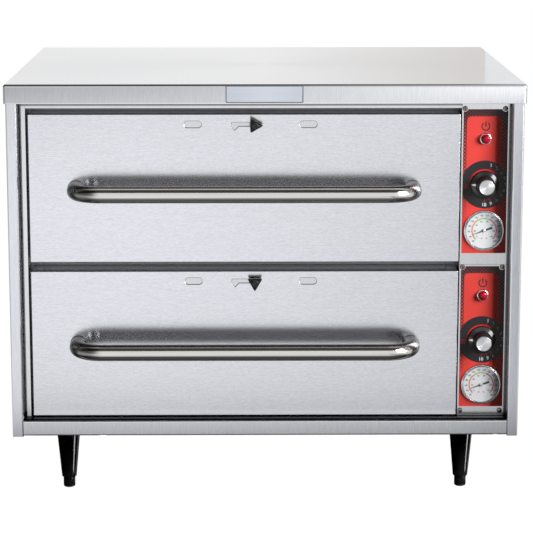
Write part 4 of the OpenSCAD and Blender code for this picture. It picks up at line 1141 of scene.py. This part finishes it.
def card_shader(t, out, x, y, z):
    """Graduated floor card that the polished fronts mirror: dark close to the feet, bright further out, dimmer to the right."""
    d = -0.2735 - y
    far = d / 2.86 + 1.0
    fx = (x - d * 0.008) / far
    fz = d * 0.939 / (d + 2.86)
    up = fz.stops(0.0, 0.64, [(0.0, 0.04), (0.03, 0.16), (0.08, 0.28), (0.105, 0.54), (0.125, 0.74), (0.155, 0.91), (0.20, 0.95), (0.32, 0.955), (0.42, 1.02), (0.585, 1.0), (0.64, 0.97)])
    up = up + (up * -1.0 + 0.86).max(0.0) * x.abs().ramp(0.46, 0.8)
    side = fx.stops(-2.5, 2.5, [(-2.5, 0.55), (-1.9, 0.62), (-1.05, 0.80), (-0.75, 0.95), (-0.6, 1.05), (-0.46, 1.12), (-0.2, 1.17), (0.0, 1.07), (0.2, 0.945), (0.285, 0.88), (0.335, 0.55), (0.42, 0.42), (0.52, 0.5), (0.7, 0.9), (1.0, 1.1), (2.5, 1.1)])
    side = (side - 1.0) * fz.ramp(0.1, 0.55, 0.55, 1.15, "LINEAR") + 1.0
    hem = fx.stops(-0.5, 0.5, [(-0.5, 0.68), (-0.38, 0.72), (-0.2, 0.82), (0.0, 0.93), (0.2, 1.10), (0.4, 1.5), (0.5, 1.52)])
    high = fz.ramp(0.580, 0.596)
    val = up * (side * (1.0 - high) + hem * high)
    e = t.nodes.new("ShaderNodeEmission")
    e.inputs["Color"].default_value = (0.985, 0.99, 1.0, 1)
    t.links.new(val.sock, e.inputs["Strength"])
    t.links.new(e.outputs[0], out.inputs["Surface"])


def mirror_only(ob):
    ob.visible_camera = ob.visible_diffuse = ob.visible_transmission = ob.visible_volume_scatter = ob.visible_shadow = False


card = plane("mirror_card", -8, 8, -14, -0.19, 0.003, emission("mirror_floor", card_shader))
mirror_only(card)


def flag_shader(t, out, x, y, z):
    """Dark surround of a leg with one bright slit and a faint one to its right."""
    az = x.atan2(y * -1.0) * (180 / math.pi)
    val = az.stops(-180, 180, [(-180, 0.0), (58.0, 0.0), (60.0, 11.0), (67.0, 11.0), (69.0, 0.0), (106.0, 0.0), (110.0, 0.9), (120.0, 0.9), (125.0, 0.0), (180, 0.0)])
    e = t.nodes.new("ShaderNodeEmission")
    e.inputs["Color"].default_value = (1, 1, 1, 1)
    t.links.new(val.sock, e.inputs["Strength"])
    t.links.new(e.outputs[0], out.inputs["Surface"])


FLAG = emission("leg_surround", flag_shader)
for name, lx, ly in (("front_left", -0.2965, -0.1925), ("front_right", 0.2965, -0.1925), ("back_left", -0.2965, 0.2185), ("back_right", 0.2965, 0.2185)):
    me = bpy.data.meshes.new(name + "_surround")
    pts, quads = [], []
    for i in range(48):
        a = 2 * math.pi * i / 48
        pts += [(0.058 * math.cos(a), 0.058 * math.sin(a), z) for z in (-0.06, 0.098)]
        quads.append((2 * i, 2 * ((i + 1) % 48), 2 * ((i + 1) % 48) + 1, 2 * i + 1))
    me.from_pydata(pts, [], quads)
    me.materials.append(FLAG)
    ob = bpy.data.objects.new(name + "_surround", me)
    ob.location = (lx, ly, 0.0)
    SCENE.collection.objects.link(ob)
    mirror_only(ob)



def screen_shader(t, out, x, y, z):
    """Pale screen that keeps the soft box out of the top's reflections: a little darker upwards."""
    e = t.nodes.new("ShaderNodeEmission")
    e.inputs["Color"].default_value = (0.985, 0.99, 1.0, 1)
    t.links.new(z.ramp(0.62, 1.1, 0.98, 0.72).sock, e.inputs["Strength"])
    t.links.new(e.outputs[0], out.inputs["Surface"])


me = bpy.data.meshes.new("top_screen")
me.from_pydata([(-0.385, -0.284, 0.6225), (0.382, -0.284, 0.6225), (0.382, -0.284, 1.2), (-0.385, -0.284, 1.2), (0.382, 0.31, 0.6225), (0.382, 0.31, 1.2)], [], [(0, 1, 2, 3), (1, 4, 5, 2)])
me.materials.append(emission("top_screen", screen_shader))
screen = bpy.data.objects.new("top_screen", me)
SCENE.collection.objects.link(screen)
mirror_only(screen)



def strip_shader(t, out, x, y, z):
    """One-sided pale strip laid on the bottom rail: it brightens the foot of the lower drawer, and is clear from below."""
    e = t.nodes.new("ShaderNodeEmission")
    e.inputs["Color"].default_value = (0.985, 0.99, 1.0, 1)
    t.links.new(x.ramp(-0.35, 0.29, 0.80, 0.74).sock, e.inputs["Strength"])
    clear = t.nodes.new("ShaderNodeBsdfTransparent")
    face = t.nodes.new("ShaderNodeNewGeometry")
    two = t.nodes.new("ShaderNodeMixShader")
    t.links.new(face.outputs["Backfacing"], two.inputs[0])
    t.links.new(e.outputs[0], two.inputs[1])
    t.links.new(clear.outputs[0], two.inputs[2])
    t.links.new(two.outputs[0], out.inputs["Surface"])


strip = plane("rail_strip", -0.3545, 0.2835, -0.2728, -0.2508, 0.1254, emission("rail_strip", strip_shader))
mirror_only(strip)

world = bpy.data.worlds.new("surroundings")
SCENE.world = world
world.use_nodes = True
t = world.node_tree
t.nodes.clear()
out = t.nodes.new("ShaderNodeOutputWorld")
bg = t.nodes.new("ShaderNodeBackground")
tc = t.nodes.new("ShaderNodeTexCoord")
sep = t.nodes.new("ShaderNodeSeparateXYZ")
t.links.new(tc.outputs["Generated"], sep.inputs[0])
x, y, z = (Val(t, o) for o in sep.outputs)
pitch = z.atan2(y * -1.0) * (180 / math.pi)
band = pitch.stops(-180, 180, [(-180, 1.0), (-90, 1.0), (0, 1.0), (33, 1.0), (40, 0.06), (79, 0.06), (83, (0.50, 0.46, 0.38)), (119, (0.50, 0.46, 0.38)),
                               (123, 0.30), (132, 0.5), (140, 1.0), (180, 1.0)])
az = x.atan2(y * -1.0) * (180 / math.pi)
turn = az.stops(-180, 180, [(-180, 1.0), (-168, 1.0), (-150, 0.9), (-108, 0.60), (-84, 0.28), (-45, 0.22), (-33, 0.32), (-20, 0.8), (-12, 1.0), (70, 1.0), (95, 0.9),
                            (130, 0.62), (150, 0.62), (168, 0.95), (180, 1.0)])
level = (x * x + y * y).sqrt().ramp(0.3, 0.6)
back = y.ramp(0.2, 0.5)
warm = mix(t, x.ramp(-0.02, 0.17) * back, (1.0, 1.0, 1.0), (0.80, 0.765, 0.73))
side = (turn - 1.0) * level + 1.0
shaded = t.nodes.new("ShaderNodeVectorMath")
shaded.operation = "MULTIPLY"
t.links.new(band.sock, shaded.inputs[0])
t.links.new(warm.sock, shaded.inputs[1])
dim = t.nodes.new("ShaderNodeVectorMath")
dim.operation = "SCALE"
t.links.new(shaded.outputs[0], dim.inputs[0])
t.links.new(side.sock, dim.inputs["Scale"])
path = t.nodes.new("ShaderNodeLightPath")
seen = mix(t, Val(t, path.outputs["Is Camera Ray"]), Val(t, dim.outputs[0]), (1.0, 1.0, 1.0))
t.links.new(seen.sock, bg.inputs["Color"])
bg.inputs["Strength"].default_value = 1.0
t.links.new(bg.outputs[0], out.inputs["Surface"])
world.cycles_visibility.diffuse = False
world.cycles.sampling_method = "NONE"


def lamp(name, az, el, dist, sx, sy, watts, target=(0.05, -0.25, 0.36), color=(1, 1, 1)):
    li = bpy.data.lights.new(name, "AREA")
    li.shape, li.size, li.size_y, li.energy, li.color = "RECTANGLE", sx, sy, watts, color
    ob = bpy.data.objects.new(name, li)
    SCENE.collection.objects.link(ob)
    a, e = math.radians(az), math.radians(el)
    d = Vector((math.sin(a) * math.cos(e), -math.cos(a) * math.cos(e), math.sin(e)))
    ob.location = Vector(target) + d * dist
    ob.rotation_mode = "QUATERNION"
    ob.rotation_quaternion = d.to_track_quat("Z", "Y")
    ob.visible_camera = False
    return ob


PANEL = (0.32, -0.25, 0.42)
key = lamp("key", 53.5, 15, 1.2, 0.444, 0.4, 22.5, PANEL)
upper = lamp("upper_key", 53.5, 33, 1.2, 0.444, 0.36, 6.8, PANEL)
fill = lamp("fill", -25, 35, 3.2, 1.6, 1.2, 3.5)
key.visible_glossy = upper.visible_glossy = fill.visible_glossy = False


def box_shader(t, out, x, y, z):
    """Front cloth of the soft box: brightest in the middle."""
    e = t.nodes.new("ShaderNodeEmission")
    e.inputs["Color"].default_value = (1, 1, 1, 1)
    t.links.new(((x * x + y * y).sqrt().ramp(0.2, 1.1, 13.0, 9.0)).sock, e.inputs["Strength"])
    t.links.new(e.outputs[0], out.inputs["Surface"])


soft_box = plane("soft_box", -0.61, 0.61, -1.15, 1.15, 0.0, emission("soft_box", box_shader))
soft_box.data.materials[0].cycles.emission_sampling = "AUTO"
stand = lamp("soft_box_stand", 51.5, 19.0, 3.02, 0.1, 0.1, 0.0, PANEL)
soft_box.location = stand.location
soft_box.rotation_mode = "QUATERNION"
soft_box.rotation_quaternion = stand.rotation_quaternion
bpy.data.objects.remove(stand)
mirror_only(soft_box)

cam = bpy.data.cameras.new("camera")
cam.sensor_width, cam.lens = 36.0, 135.97
cam.shift_x, cam.shift_y = 0.0, -0.08
cam.clip_start, cam.clip_end = 0.05, 60
eye = bpy.data.objects.new("camera", cam)
SCENE.collection.objects.link(eye)
eye.location = (-0.02307, -3.1323, 0.93902)
eye.rotation_euler = (math.pi / 2 - 0.18, 0.0, -0.0087)
SCENE.camera = eye
SCENE.view_settings.view_transform = "Standard"
